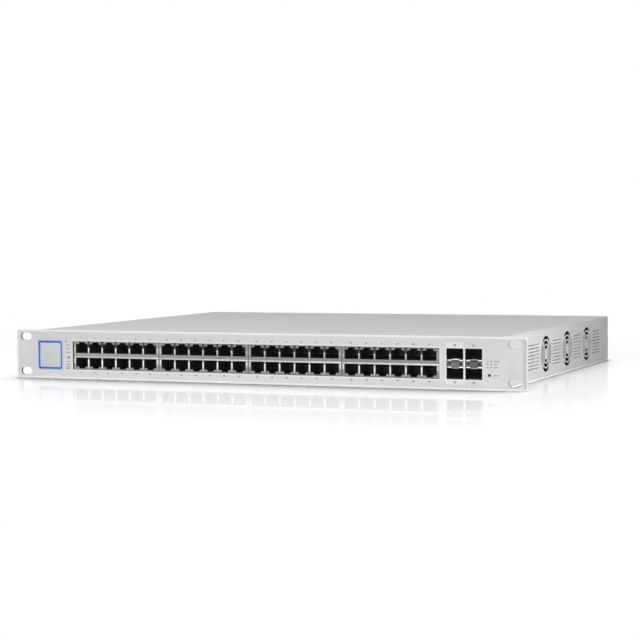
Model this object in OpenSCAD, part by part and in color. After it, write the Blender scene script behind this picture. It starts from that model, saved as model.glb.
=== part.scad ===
// Rack-mount network switch, one rack unit high: 48 copper ports, four module cages, three side fans.
// Millimetres. +X is the viewer's right, +Y runs from the front panel to the rear, +Z is up.
// The origin is under the middle of the whole unit, on the plane that it stands on.

/* [Case] */
// Width of the case between the rack ears
case_w = 443; // [440:1:540]
// Depth from the front panel's face to the cover's rear lip
case_d = 360; // [356:1:440]
// Height of the front panel and of the case
case_h = 44; // [43:0.5:54]
// Thickness of the case's sheet metal
sheet_t = 1; // [0.8:0.1:1.2]
// Outer radius of the cover's two long folds
fold_r = 1.5; // [1.3:0.1:3]
// Gap between two sheets that lie side by side
sheet_gap = 0.2; // [0.1:0.05:0.4]

/* [Front panel] */
// Thickness of the front panel
panel_t = 2.5; // [2:0.1:3]
// Width of each rack ear, past the side of the case
ear_w = 21; // [19:0.5:26]
// Corner radius of the front panel
panel_corner_r = 2; // [0.5:0.5:3]
// Length of a rack slot, end to end
slot_l = 11.5; // [8:0.5:14]
// Width of a rack slot
slot_w = 6.9; // [6:0.1:8.3]
// Distance between the upper and the lower rack slot
slot_pitch = 31.75; // [31:0.05:32]
// Distance from a rack slot's centre to the ear's outer edge
slot_inset = 9.95; // [8:0.05:12]
// Gap between a window's edge and what shows in it
window_gap = 0.2; // [0.1:0.05:0.4]

/* [Copper ports] */
// Distance between two ports in a row
port_pitch = 14; // [13.8:0.1:14.5]
// Distance between two six-column jack blocks
group_pitch = 87.7; // [87.2:0.1:88]
// Sideways place of the middle of all the ports
port_field_x = -8; // [-8.4:0.1:-7]
// Height of a jack block
jack_h = 25.4; // [25:0.1:26]
// Depth of a jack block
jack_d = 30; // [26:0.5:34]
// How far the jack blocks' faces lie behind the panel's face
jack_recess = 1.2; // [0.5:0.1:2]
// Width of a port's opening
port_w = 12.2; // [11.7:0.1:12.3]
// Height of a port's opening without its latch notch
port_h = 8.2; // [8:0.1:8.3]
// Height of the latch notch
notch_h = 1.8; // [1.4:0.1:1.8]
// Width of the latch notch at its mouth
notch_w = 6.8; // [5.6:0.1:7]
// Height of the bar between the two rows of ports
shelf_h = 4.1; // [3.8:0.1:4.2]
// Depth of a port
port_d = 17; // [15:0.5:20]
// Thickness of a jack block's metal shield
shield_t = 0.3; // [0.2:0.05:0.3]

/* [Module cages] */
// Sideways place of the middle of the cage
cage_x = 189.1; // [188.5:0.1:189.5]
// Distance between the two columns of the cage
cage_pitch = 16.3; // [16.2:0.1:17]
// Width of a module bay
bay_w = 14.3; // [14:0.1:14.6]
// Height of a module bay
bay_h = 9.3; // [8.8:0.1:9.4]
// Depth of the cage
cage_d = 50; // [46:1:60]
// Depth of the cage's rear chamber, which holds the connectors
cage_rear_d = 11; // [9:0.5:13]
// Thickness of the cage's metal
cage_t = 0.4; // [0.3:0.05:0.5]

/* [Status light] */
// Sideways place of the status light
light_x = -207.2; // [-207.6:0.1:-206]
// Width of the light ring
light_w = 24.7; // [23:0.1:25]
// Height of the light ring
light_h = 25.4; // [23:0.1:26]
// Width of the ring's lit band
light_band = 2; // [1.5:0.1:3]

/* [Reset] */
// Sideways place of the reset hole
reset_x = 210.7; // [209:0.1:211]
// Radius of the reset hole in the front panel
reset_hole_r = 1.2; // [0.8:0.1:1.5]
// Height of the reset plunger above the main board
reset_above_board = 3.7; // [3:0.1:5]
// Travel of the reset plunger
reset_travel = 0.5; // [0.3:0.1:0.6]

/* [Fans and vents] */
// Side of a fan's square frame
fan_size = 40; // [36:1:40]
// Thickness of a fan
fan_t = 20; // [15:1:28]
// Distance from the panel's face to the first fan's axis
fan_first_y = 132; // [128:1:140]
// Distance between two fans
fan_pitch = 71.6; // [62:0.1:80]
// Height of a vent slot
vent_h = 0.6; // [0.5:0.1:1.8]
// Height from one vent slot to the next
vent_pitch = 2.96; // [2.5:0.02:3.2]
// Length of a bank of vent slots between two fans
vent_l = 28; // [20:0.5:30]
// Radial width of one ring of the fan guard
guard_ring = 3; // [2:0.1:3.2]
// Radial distance from one ring of the fan guard to the next
guard_pitch = 4.2; // [3.6:0.1:4.5]
// Outer radius of the fan guard
guard_r = 16.1; // [15:0.1:17]

/* [Boards] */
// Height of the posts that carry the boards
standoff_h = 6; // [5.5:0.1:7]
// Thickness of the circuit boards
board_t = 1.6; // [1.2:0.1:2]
// Depth of the main board
main_board_d = 160; // [155:1:165]
// Depth of the power board
power_board_d = 150; // [145:1:160]
// Width of the power board
power_board_w = 182; // [175:1:200]

/* [Power inlet] */
// Sideways place of the power inlet, from the case's left side
inlet_from_side = 46; // [35:1:60]
// Width of the power inlet's cavity
inlet_w = 24; // [23.8:0.1:24.5]
// Height of the power inlet's cavity
inlet_h = 16.6; // [16.4:0.1:17]

/* [Hidden] */
$fn = 48;
port_groups = 4;
port_columns = 6;
contacts_per_port = 8;
fan_count = 3;
groups = [1:port_groups];
fans = [1:fan_count];

// Sheet-metal places
rear_wall_out = case_d - sheet_t - sheet_gap;
rear_wall_in = rear_wall_out - sheet_t;
cover_in_x = case_w / 2 - sheet_t;
base_out_x = cover_in_x - sheet_gap;
cover_lip_z = case_h - 8;
front_flange_h = 6.5;
side_flange_h = 4.5;

// Fasteners: radii of shanks, heads and holes
m3_r = 1.5;
m3_head_r = 2.75;
m3_head_h = 1.8;
m3_hole_r = 1.7;
thread_gap = 0.05;
stud_r = 1.25;
stud_l = 7;
stud_hole_r = 1.45;
nut_flats = 5;
nut_h = 2;
stud_low_z = sheet_t + 2.8;
stud_high_z = case_h - sheet_t - 3.6;
stud_xs = [for (k = [-2:2]) k * (case_w / 2 - 35) / 2];
cover_screw_xs = [for (k = [-2:2]) k * (case_w / 2 - 20) / 2];
cover_screw_z = case_h - 5;
cover_screw_l = 6;

// Heights above the standing plane
board_bottom = sheet_t + standoff_h;
board_top = board_bottom + board_t;
jack_mid_z = board_top + jack_h / 2;

// The fans' bracket and their inner faces, which the main board keeps clear of
bracket_t = 1;
bracket_out_x = base_out_x - sheet_t - sheet_gap;
bracket_in_x = bracket_out_x - bracket_t;
fan_inner_x = bracket_in_x - fan_t;
board_fan_gap = 3.1;

// Boards
board_front = panel_t + 2;
main_board_rear = board_front + main_board_d;
main_board_left = -(case_w / 2 - 17.5);
main_board_right = fan_inner_x - board_fan_gap;
ear_board_right = case_w / 2 - 6.5;
ear_board_d = 95;
power_board_rear = rear_wall_in - 30;
power_board_front = power_board_rear - power_board_d;
power_board_left = -(case_w / 2 - 9.5);
power_board_right = power_board_left + power_board_w;
post_r = 2.75;
main_posts = [
    for (x = [main_board_left + 8, -104, -7.6, 89, 162])
        for (y = [board_front + jack_d + 2.5, main_board_rear - 6]) [x, y]
];
power_posts = [
    for (x = [power_board_left + 6, power_board_right - 6])
        for (y = [power_board_front + 6, power_board_rear - 6]) [x, y]
];

// Main board parts
switch_chip_size = [35, 35, 2.2];
switch_chip_y = 108;
switch_sink_size = [72, 58, 20];
phy_chip_size = [24, 24, 2];
phy_y = 64;
phy_pitch = 58;
phy_first_x = -152.6;
phy_count = 6;
phy_sink_size = [88, 26, 14];
poe_chip_size = [10, 10, 1.2];
poe_xs = [-172, -140, -108, 92, 124, 156];
poe_y = 118;
sink_base_t = 3;
sink_fin_t = 1.2;
sink_fin_pitch = 4;
header_size = [14, 8, 9];
dc_header_x = power_board_right - 40;
fan_header_x = 172;
fan_header_pitch = 10;
fan_header_size = [8, 6, 7];

// Power board parts
transformer_size = [36, 30, 28];
transformer_xs = [power_board_left + 104, power_board_left + 152];
transformer_y = power_board_front + 50;
capacitor_r = 12.5;
capacitor_h = 30;
capacitor_xs = [power_board_left + 22, power_board_left + 52];
capacitor_y = power_board_front + 56;
choke_ring_r = 9;
choke_wire_r = 4.5;
choke_x = power_board_left + 62;
choke_y = power_board_front + 112;
power_sink_l = 120;
power_sink_t = 3;
power_sink_h = 28;
power_sink_ys = [power_board_front + 20, power_board_front + 84];
power_sink_x = power_board_left + 102;
insulator_t = 0.25;
terminal_size = [22, 9, 11];

// Copper port details
block_w = group_pitch - 0.4;
jack_y = jack_recess;
housing_y = jack_y + shield_t;
cavity_h = port_h + notch_h;
lamp_top_w = (port_w - notch_w) / 2 + 0.5;
lamp_foot_w = (port_w - notch_w) / 2;
lamp_d = 15;
spring_w = 0.6;
spring_h = 3.3;
spring_rise = 0.2;
spring_inset = 0.15;
spring_above_shelf = 1.6;
contact_w = 0.45;
contact_t = 0.4;
contact_pitch = 1.02;
contact_reach = 6;
contact_rise = 2.4;

// Module cage details
cage_y = 1;
bar_gap = 0.1;
cage_w = cage_pitch + bay_w + 2 * cage_t;
cage_h = jack_h;
cage_mid_h = cage_h - 2 * (bay_h + cage_t);
bay_clear_d = cage_d - cage_rear_d;
finger_w = 3.7;
finger_mid_w = 6.1;
finger_t = 0.3;
finger_d = 6;
finger_lift = 0.7;
finger_lip = 0.5;
finger_foot = 2;
cage_lamp_side = 2.6;
cage_lamp_x = 4.8;
connector_gap = 0.1;
card_slot_size = [10.8, 5, 1.3];

// Status light details
light_corner_r = 1.6;
light_recess = 0.2;
light_d = 5;
light_lip = 1.2;
badge_gap = 0.15;
badge_t = 3.2;
led_board_size = [23, 1];
led_board_above = 11.5;
led_post_d = 1;

// Reset switch details
reset_z = board_top + reset_above_board;
reset_body_size = [6, 4, 6.8];
reset_body_y = 12;
plunger_r = 1;
plunger_gap = 0.06;
plunger_out_l = 4;
plunger_in_l = 2;

// Fan details
fan_z = sheet_t + 0.5 + fan_size / 2;
fan_bore_r = fan_size / 2 - 1;
fan_tip_r = fan_bore_r - 0.7;
fan_hub_r = 9;
fan_hub_d = 11;
fan_hub_wall = 1;
fan_motor_r = 8.5;
fan_motor_t = 2.5;
fan_blades = 7;
fan_blade_t = 0.9;
fan_blade_w = 13;
fan_blade_tilt = 38;
fan_shaft_r = 1.5;
fan_tube_r = 3;
fan_tube_l = 10;
bearing_gap = 0.05;
fan_hole_inset = 4;
fan_hole_r = 1.75;
fan_face_gap = 1.2;
bracket_foot = [12, 18, 1];
bracket_end = 8;
bracket_foot_x = bracket_in_x - bracket_foot.x / 2;
bracket_foot_ys = [for (k = [1:fan_count - 1]) fan_first_y + (k - 0.5) * fan_pitch];

// Vents
vent_rows = 8;
vent_mid_z = 21.3;
vent_first_y = 68;
guard_rings = 3;
guard_half_angle = 40;

// Power inlet details
inlet_x = -case_w / 2 + inlet_from_side;
inlet_z = 21.3;
inlet_wall = 1.4;
inlet_body_d = 20;
inlet_cavity_d = 17;
inlet_flange = [50, 2.2, 22.6];
inlet_screw_pitch = 40;
inlet_corner = 4;
inlet_pin = [2, 24, 4];
inlet_pin_mouth_gap = 3;
inlet_pin_x = 7;
inlet_earth_rise = 2;
inlet_line_drop = 2;
inlet_tab_l = 7;
earth_x = inlet_x + 42;
earth_z = 14;
earth_r = 2;
earth_head_r = 3.8;
earth_head_h = 2.6;
washer_r = 4.6;
washer_t = 0.8;

// The whole unit runs from the panel's face to the rearmost screw head.
rearmost_y = max(case_d + m3_head_h, rear_wall_out + inlet_flange.y + m3_head_h,
    rear_wall_out + washer_t + earth_head_h);
middle_y = rearmost_y / 2;

function group_x(g) = port_field_x + (g - (port_groups + 1) / 2) * group_pitch;
function column_x(c) = (c - (port_columns + 1) / 2) * port_pitch;
function fan_y(k) = fan_first_y + (k - 1) * fan_pitch;
function phy_x(k) = phy_first_x + (k - 1) * phy_pitch;

// Moves what is drawn from the panel's face to the unit's own frame.
module from_face() {
    translate([0, -middle_y, 0]) children();
}

// A box from its lowest corner to its highest corner.
module box(low, high) {
    translate(low) cube(high - low);
}

// A box centred sideways on x, from y to y + size.y and from z to z + size.z.
module block_at(x, y, z, size) {
    translate([x - size.x / 2, y, z]) cube(size);
}

// A cylinder along +Y, starting at point.
module rod_y(point, r, l) {
    translate(point) rotate([-90, 0, 0]) cylinder(r = r, h = l);
}

// A cylinder along +X, starting at point.
module rod_x(point, r, l) {
    translate(point) rotate([0, 90, 0]) cylinder(r = r, h = l);
}

// A flat shape drawn in X and Z, made thick along +Y from y.
module along_y(y, depth) {
    translate([0, y + depth, 0]) rotate([90, 0, 0]) linear_extrude(depth) children();
}

// A rectangle with round corners, centred on the origin.
module round_rectangle(w, h, r) {
    square([w - 2 * r, h], center = true);
    square([w, h - 2 * r], center = true);
    for (sx = [-1, 1])
        for (sz = [-1, 1]) translate([sx * (w / 2 - r), sz * (h / 2 - r)]) circle(r);
}

// A slot with round ends, lying along X.
module slot_shape(l, w) {
    square([l - w, w], center = true);
    for (s = [-1, 1]) translate([s * (l - w) / 2, 0]) circle(w / 2);
}

// A machine screw along +Y: head outside y, shank inside.
module screw_y(x, y, z, l) {
    rod_y([x, y - l, z], m3_r, l);
    rod_y([x, y, z], m3_head_r, m3_head_h);
}

// A round wire through a list of points, with a ball at each bend.
module wire(points, r) {
    for (k = [0:len(points) - 2]) {
        step = points[k + 1] - points[k];
        run = norm(step);
        turn = atan2(step.y, step.x);
        lean = acos(step.z / run);
        translate(points[k]) rotate([0, lean, turn]) cylinder(r = r, h = run, $fn = 20);
        if (k > 0) translate(points[k]) sphere(r = r + 0.03, $fn = 20);
    }
}

// ---------- Case ----------

module base_pan() {
    color("silver") from_face() difference() {
        union() {
            box([-base_out_x, panel_t, 0], [base_out_x, rear_wall_out, sheet_t]);
            box([-base_out_x, panel_t, 0], [base_out_x, panel_t + sheet_t, front_flange_h]);
            box([-base_out_x, rear_wall_in, 0],
                [base_out_x, rear_wall_out, case_h - sheet_t - sheet_gap]);
            for (s = [-1, 1])
                translate([s * (base_out_x - sheet_t / 2), 0, 0])
                    box([-sheet_t / 2, panel_t, 0], [sheet_t / 2, rear_wall_out, side_flange_h]);
        }
        for (x = stud_xs) rod_y([x, panel_t - 1, stud_low_z], stud_hole_r, sheet_t + 2);
        for (x = cover_screw_xs)
            rod_y([x, rear_wall_in - 1, cover_screw_z], m3_r + thread_gap, sheet_t + 2);
        for (y = bracket_foot_ys)
            translate([bracket_foot_x, y, -1]) cylinder(r = m3_r + thread_gap, h = sheet_t + 2);
        inlet_cutout();
        for (s = [-1, 1])
            rod_y([inlet_x + s * inlet_screw_pitch / 2, rear_wall_in - 1, inlet_z],
                m3_r + thread_gap, sheet_t + 2);
        rod_y([earth_x, rear_wall_in - 1, earth_z], earth_r + thread_gap, sheet_t + 2);
    }
}

// The folded U of the cover, seen from the front; foot is how far it reaches below z = 0.
module cover_shape(inset, foot) {
    w = case_w - 2 * inset;
    h = case_h - inset;
    r = fold_r - min(inset, fold_r - 0.3);
    translate([-w / 2, -foot]) square([w, h - r + foot]);
    translate([-w / 2 + r, 0]) square([w - 2 * r, h]);
    for (s = [-1, 1]) translate([s * (w / 2 - r), h - r]) circle(r);
}

// A bank of level vent slots through a side wall, from y0 to y1.
module vent_bank(side, y0, y1) {
    for (k = [0:vent_rows - 1])
        translate([side * (case_w / 2 - sheet_t / 2), y0,
            vent_mid_z + (k - (vent_rows - 1) / 2) * vent_pitch - vent_h / 2])
            translate([-sheet_t, 0, 0]) cube([2 * sheet_t, y1 - y0, vent_h]);
}

// One fan guard: rings of arcs, each cut in four by the spokes.
module fan_guard(side, k) {
    translate([side * (case_w / 2 - sheet_t / 2) - sheet_t, fan_y(k), fan_z]) rotate([90, 0, 90])
        linear_extrude(2 * sheet_t) intersection() {
            for (n = [0:guard_rings - 1]) difference() {
                circle(guard_r - n * guard_pitch);
                circle(guard_r - n * guard_pitch - guard_ring);
            }
            for (quarter = [0:3]) rotate(quarter * 90) polygon([
                [0, 0],
                2 * guard_r * [cos(guard_half_angle), -sin(guard_half_angle)],
                2 * guard_r * [cos(guard_half_angle), sin(guard_half_angle)]
            ]);
        }
}

module side_vents(side, with_guards) {
    vent_bank(side, vent_first_y, fan_y(1) - fan_pitch / 2 + vent_l / 2);
    for (k = fans) vent_bank(side, fan_y(k) + (fan_pitch - vent_l) / 2,
        fan_y(k) + (fan_pitch + vent_l) / 2);
    for (k = fans) if (with_guards) fan_guard(side, k);
}

module top_cover() {
    color("gainsboro") from_face() difference() {
        union() {
            difference() {
                along_y(panel_t, case_d - panel_t) cover_shape(0, 0);
                along_y(panel_t - 1, case_d - panel_t + 2) cover_shape(sheet_t, 1);
            }
            for (y = [panel_t, case_d - sheet_t])
                box([-cover_in_x + 1, y, cover_lip_z],
                    [cover_in_x - 1, y + sheet_t, case_h - sheet_t / 2]);
        }
        side_vents(1, true);
        side_vents(-1, false);
        for (x = stud_xs) rod_y([x, panel_t - 1, stud_high_z], stud_hole_r, sheet_t + 2);
        for (x = cover_screw_xs)
            rod_y([x, case_d - sheet_t - 1, cover_screw_z], m3_hole_r, sheet_t + 2);
    }
}

module cover_screws() {
    color("lightgray") from_face()
        for (x = cover_screw_xs) screw_y(x, case_d, cover_screw_z, cover_screw_l);
}

// ---------- Front panel ----------

module front_panel() {
    panel_w = case_w + 2 * ear_w;
    field_w = port_groups * group_pitch;
    cage_window_h = cage_h + 2 * window_gap;
    color("gainsboro") from_face() difference() {
        along_y(0, panel_t) difference() {
            translate([0, case_h / 2]) round_rectangle(panel_w, case_h, panel_corner_r);
            for (sx = [-1, 1])
                for (sz = [-1, 1])
                    translate([sx * (panel_w / 2 - slot_inset), case_h / 2 + sz * slot_pitch / 2])
                        slot_shape(slot_l, slot_w);
            translate([port_field_x, jack_mid_z])
                square([field_w + 2 * window_gap, jack_h + 2 * window_gap], center = true);
            for (s = [-1, 1]) translate([cage_x + s * cage_pitch / 2, jack_mid_z])
                square([bay_w + 2 * window_gap, cage_window_h], center = true);
            translate([light_x, jack_mid_z]) round_rectangle(light_w + 2 * window_gap,
                light_h + 2 * window_gap, light_corner_r + window_gap);
            translate([reset_x, reset_z]) circle(reset_hole_r);
        }
        // The bar between the two module columns is thin, and stands in front of the cage.
        along_y(cage_y - bar_gap, panel_t) translate([cage_x, jack_mid_z])
            square([cage_w + 2 * window_gap, cage_window_h], center = true);
    }
}

module panel_studs() {
    color("silver") from_face()
        for (x = stud_xs)
            for (z = [stud_low_z, stud_high_z]) rod_y([x, panel_t, z], stud_r, stud_l);
}

module panel_nuts() {
    color("silver") from_face() for (x = stud_xs) for (z = [stud_low_z, stud_high_z])
        difference() {
            translate([x, panel_t + sheet_t, z]) rotate([-90, 0, 0])
                cylinder(r = nut_flats / 2 / cos(30), h = nut_h, $fn = 6);
            rod_y([x, panel_t, z], stud_r + thread_gap, nut_h + sheet_t + 2);
        }
}

// ---------- Status light ----------

module status_light_ring() {
    inner_w = light_w - 2 * light_band;
    inner_h = light_h - 2 * light_band;
    color("royalblue") from_face() translate([light_x, 0, jack_mid_z]) {
        difference() {
            along_y(light_recess, light_d) round_rectangle(light_w, light_h, light_corner_r);
            along_y(light_recess - 1, badge_t + 1) square([inner_w, inner_h], center = true);
            along_y(light_recess, light_d + 1)
                square([inner_w - 2 * light_lip, inner_h - 2 * light_lip], center = true);
        }
        for (s = [-1, 1])
            translate([0, panel_t + 0.2, s * (light_h / 2 + 0.4) - 0.7])
                block_at(0, 0, 0, [light_w - 4, 1, 1.4]);
        for (sx = [-1, 1])
            for (sz = [-1, 1])
                block_at(sx * 9, light_recess + light_d, sz * 10 - 1, [2, led_post_d, 2]);
    }
}

module status_badge() {
    color("gainsboro") from_face() translate([light_x, 0, jack_mid_z])
        along_y(light_recess, badge_t) round_rectangle(light_w - 2 * light_band - 2 * badge_gap,
            light_h - 2 * light_band - 2 * badge_gap, 1);
}

module status_led_board() {
    board_y = light_recess + light_d + led_post_d;
    color("seagreen") from_face() translate([light_x, 0, jack_mid_z]) {
        block_at(0, board_y, board_top - jack_mid_z,
            [led_board_size.x, led_board_size.y, jack_mid_z - board_top + led_board_above]);
        for (s = [-1, 1]) {
            block_at(0, board_y - 0.7, s * 10 - 1, [3, 0.7, 2]);
            block_at(s * 9, board_y - 0.7, -1, [2, 0.7, 3]);
        }
    }
}

// ---------- Copper ports ----------

// Repeats a child for every port of group g. The child's +Z is the latch's side, and its
// z = 0 is the surface of the bar between the rows.
module at_ports(g) {
    for (c = [1:port_columns]) for (row = [-1, 1])
        translate([group_x(g) + column_x(c), 0, jack_mid_z + row * shelf_h / 2])
            rotate([0, row > 0 ? 0 : 180, 0]) children();
}

module jack_shield(g) {
    x = group_x(g);
    color("silver") from_face() {
        difference() {
            block_at(x, jack_y, board_top, [block_w, jack_d, jack_h]);
            block_at(x, housing_y, board_top - 1,
                [block_w - 2 * shield_t, jack_d - 2 * shield_t, jack_h + 1 - shield_t]);
            at_ports(g) block_at(0, 0, 0, [port_w, jack_y + shield_t + 1, cavity_h]);
        }
        at_ports(g) for (s = [-1, 1])
            block_at(s * ((port_w + spring_w) / 2 + spring_inset), jack_y - spring_rise,
                spring_above_shelf, [spring_w, spring_rise + shield_t, spring_h]);
    }
}

module jack_housing(g) {
    x = group_x(g);
    color("black") from_face() difference() {
        block_at(x, housing_y, board_top,
            [block_w - 2 * shield_t, jack_d - 2 * shield_t, jack_h - shield_t]);
        at_ports(g) block_at(0, housing_y - 1, 0, [port_w, port_d + 1, cavity_h]);
    }
}

module jack_contacts(g) {
    rear = housing_y + port_d;
    color("goldenrod") from_face() at_ports(g)
        for (k = [0:contacts_per_port - 1])
            translate([(k - (contacts_per_port - 1) / 2) * contact_pitch - contact_w / 2, 0, 0])
                rotate([90, 0, 90]) linear_extrude(contact_w) polygon([
                    [rear, contact_t],
                    [rear - 2, contact_t],
                    [rear - contact_reach, contact_t + contact_rise],
                    [rear - contact_reach, 2 * contact_t + contact_rise],
                    [rear - 2, 2 * contact_t],
                    [rear, 2 * contact_t]
                ]);
}

module jack_lamps(g) {
    color("lightgray") from_face() at_ports(g)
        for (s = [-1, 1]) along_y(housing_y, lamp_d) polygon([
            [s * port_w / 2, port_h],
            [s * port_w / 2, cavity_h],
            [s * (port_w / 2 - lamp_top_w), cavity_h],
            [s * (port_w / 2 - lamp_foot_w), port_h]
        ]);
}

// ---------- Module cages ----------

// Repeats a child for both columns of the cage.
module at_columns() {
    for (s = [-1, 1]) translate([cage_x + s * cage_pitch / 2, 0, board_top]) children();
}

// A triangle with its base level, pointing along +Z or, where s is -1, along -Z.
module lamp_shape(side, s) {
    polygon(side * [[-0.5, -s * 0.45], [0.5, -s * 0.45], [0, s * 0.45]]);
}

module cage_lamps(y, depth, gap) {
    at_columns() for (s = [-1, 1])
        translate([s * cage_lamp_x, 0, cage_h / 2])
            along_y(y, depth) lamp_shape(cage_lamp_side - gap, s);
}

module module_cage() {
    upper_bay = cage_h - cage_t - bay_h;
    color("silver") from_face() difference() {
        block_at(cage_x, cage_y, board_top, [cage_w, cage_d, cage_h]);
        at_columns() {
            for (z = [cage_t, upper_bay])
                block_at(0, cage_y - 1, z, [bay_w, bay_clear_d + 2, bay_h]);
            block_at(0, cage_y + cage_t, cage_t + bay_h + cage_t,
                [bay_w, bay_clear_d, cage_mid_h - 2 * cage_t]);
            block_at(0, cage_y + bay_clear_d, cage_t,
                [bay_w, cage_rear_d - cage_t, cage_h - 2 * cage_t]);
        }
        cage_lamps(cage_y - 1, cage_t + 2, 0);
    }
}

// The spring fingers along one edge of the cage's middle bar; z = 0 is the bar's face.
module finger_row() {
    for (s = [-1, 0, 1]) {
        w = s == 0 ? finger_mid_w : finger_w;
        x = s * (finger_mid_w + finger_w + 0.3) / 2;
        lift = s == 0 ? finger_lift : 0;
        translate([x - w / 2, cage_y, 0]) rotate([90, 0, 90]) linear_extrude(w) polygon([
            [-finger_t, lift - finger_lip],
            [0, lift - finger_lip],
            [0, lift],
            [finger_d / 2, lift],
            [finger_d, 0],
            [finger_d + finger_foot, 0],
            [finger_d + finger_foot, finger_t],
            [finger_d, finger_t],
            [finger_d / 2, lift + finger_t],
            [-finger_t, lift + finger_t]
        ]);
    }
}

module module_cage_fingers() {
    color("whitesmoke") from_face() at_columns() {
        translate([0, 0, cage_h - cage_t - bay_h]) finger_row();
        translate([0, 0, cage_t + bay_h]) rotate([0, 180, 0]) finger_row();
    }
}

module module_connectors() {
    y = cage_y + bay_clear_d + connector_gap;
    w = bay_w - 2 * connector_gap;
    color("dimgray") from_face() at_columns() difference() {
        union() {
            block_at(0, y, cage_t, [w, cage_rear_d - cage_t - connector_gap, cage_h - 2 * cage_t]);
            for (z = [cage_t + 1.6, cage_h - cage_t - bay_h + 1.6])
                block_at(0, y - 5, z, [w - 1, 5, bay_h - 3.2]);
        }
        for (z = [cage_t + bay_h / 2, cage_h - cage_t - bay_h / 2])
            block_at(0, y - 6, z - card_slot_size.z / 2,
                [card_slot_size.x, card_slot_size.y + 1, card_slot_size.z]);
    }
}

module module_cage_lamps() {
    depth = bay_clear_d + connector_gap;
    color("dimgray") from_face() cage_lamps(cage_y, depth, 0.15);
}

// ---------- Reset switch ----------

module reset_switch_body() {
    color("dimgray") from_face() difference() {
        block_at(reset_x, reset_body_y, board_top, reset_body_size);
        rod_y([reset_x, reset_body_y - 1, reset_z], plunger_r + plunger_gap,
            plunger_in_l + reset_travel + 1.3);
    }
}

module reset_plunger() {
    color("black") from_face()
        rod_y([reset_x, reset_body_y - plunger_out_l, reset_z], plunger_r,
            plunger_out_l + plunger_in_l);
}

// ---------- Main board ----------

module main_board() {
    color("darkgreen") from_face() difference() {
        union() {
            box([main_board_left, board_front, board_bottom],
                [main_board_right, main_board_rear, board_top]);
            box([main_board_right - 1, board_front, board_bottom],
                [ear_board_right, board_front + ear_board_d, board_top]);
        }
        for (p = main_posts)
            translate([p.x, p.y, board_bottom - 1]) cylinder(r = m3_hole_r, h = board_t + 2);
    }
}

module board_posts() {
    color("silver") from_face() for (p = concat(main_posts, power_posts)) difference() {
        translate([p.x, p.y, sheet_t]) cylinder(r = post_r, h = standoff_h);
        translate([p.x, p.y, sheet_t + 1]) cylinder(r = m3_r + thread_gap, h = standoff_h);
    }
}

// Pan-head screws that hold the boards to their posts and the fan bracket to the base.
module board_screws() {
    color("silver") from_face() {
        for (p = concat(main_posts, power_posts)) {
            translate([p.x, p.y, board_top - 5.4]) cylinder(r = m3_r, h = 5.4);
            translate([p.x, p.y, board_top]) cylinder(r = m3_head_r, h = m3_head_h);
        }
        for (y = bracket_foot_ys) translate([bracket_foot_x, y, 0]) {
            cylinder(r = m3_r, h = sheet_t + bracket_foot.z);
            translate([0, 0, sheet_t + bracket_foot.z]) cylinder(r = m3_head_r, h = m3_head_h);
        }
    }
}

module board_chips() {
    color("black") from_face() {
        block_at(port_field_x, switch_chip_y - switch_chip_size.y / 2, board_top,
            switch_chip_size);
        for (k = [1:phy_count])
            block_at(phy_x(k), phy_y - phy_chip_size.y / 2, board_top, phy_chip_size);
        for (x = poe_xs) block_at(x, poe_y, board_top, poe_chip_size);
    }
}

module board_headers() {
    color("ivory") from_face() {
        block_at(dc_header_x, main_board_rear - 12, board_top, header_size);
        for (k = fans)
            block_at(fan_header_x + (k - 2) * fan_header_pitch, main_board_rear - 22, board_top,
                fan_header_size);
    }
}

// A heat sink with upright fins along Y, standing on z = 0.
module finned_sink(size) {
    fins = floor((size.x - sink_fin_t) / sink_fin_pitch);
    block_at(0, -size.y / 2, 0, [size.x, size.y, sink_base_t]);
    for (k = [0:fins])
        block_at((k - fins / 2) * sink_fin_pitch, -size.y / 2, 0, [sink_fin_t, size.y, size.z]);
}

module switch_chip_heatsink() {
    color("silver") from_face()
        translate([port_field_x, switch_chip_y, board_top + switch_chip_size.z])
            finned_sink(switch_sink_size);
}

module port_chip_heatsinks() {
    color("silver") from_face() for (k = [1:2:phy_count])
        translate([(phy_x(k) + phy_x(k + 1)) / 2, phy_y, board_top + phy_chip_size.z])
            finned_sink(phy_sink_size);
}

// ---------- Power supply ----------

module power_board() {
    color("darkkhaki") from_face() difference() {
        box([power_board_left, power_board_front, board_bottom],
            [power_board_right, power_board_rear, board_top]);
        for (p = power_posts)
            translate([p.x, p.y, board_bottom - 1]) cylinder(r = m3_hole_r, h = board_t + 2);
    }
}

module power_insulator() {
    color("lemonchiffon") from_face() difference() {
        box([power_board_left, power_board_front, sheet_t],
            [power_board_right, power_board_rear, sheet_t + insulator_t]);
        for (p = power_posts)
            translate([p.x, p.y, 0]) cylinder(r = post_r + 0.5, h = sheet_t + 2);
    }
}

// Wound transformers: a core with a winding that bulges front and rear.
module power_transformers() {
    color("gold") from_face() for (x = transformer_xs) translate([x, transformer_y, board_top]) {
        block_at(0, -transformer_size.y / 2, 0, transformer_size);
        translate([0, 0, 5]) cylinder(r = transformer_size.y / 2 + 3, h = transformer_size.z - 10);
    }
}

module power_capacitors() {
    color("midnightblue") from_face() for (x = capacitor_xs)
        translate([x, capacitor_y, board_top]) {
            cylinder(r = capacitor_r, h = capacitor_h);
            cylinder(r = capacitor_r + 0.4, h = 1.5);
        }
}

module power_choke() {
    color("darkorange") from_face() translate([choke_x, choke_y, board_top + choke_wire_r])
        rotate_extrude() translate([choke_ring_r, 0]) circle(choke_wire_r);
}

module power_heatsinks() {
    color("silver") from_face() for (y = power_sink_ys) {
        block_at(power_sink_x, y, board_top, [power_sink_l, power_sink_t, power_sink_h]);
        for (k = [-4:4]) block_at(power_sink_x + k * 13, y, board_top + power_sink_h - 4,
            [2, 9, 4]);
    }
}

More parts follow.
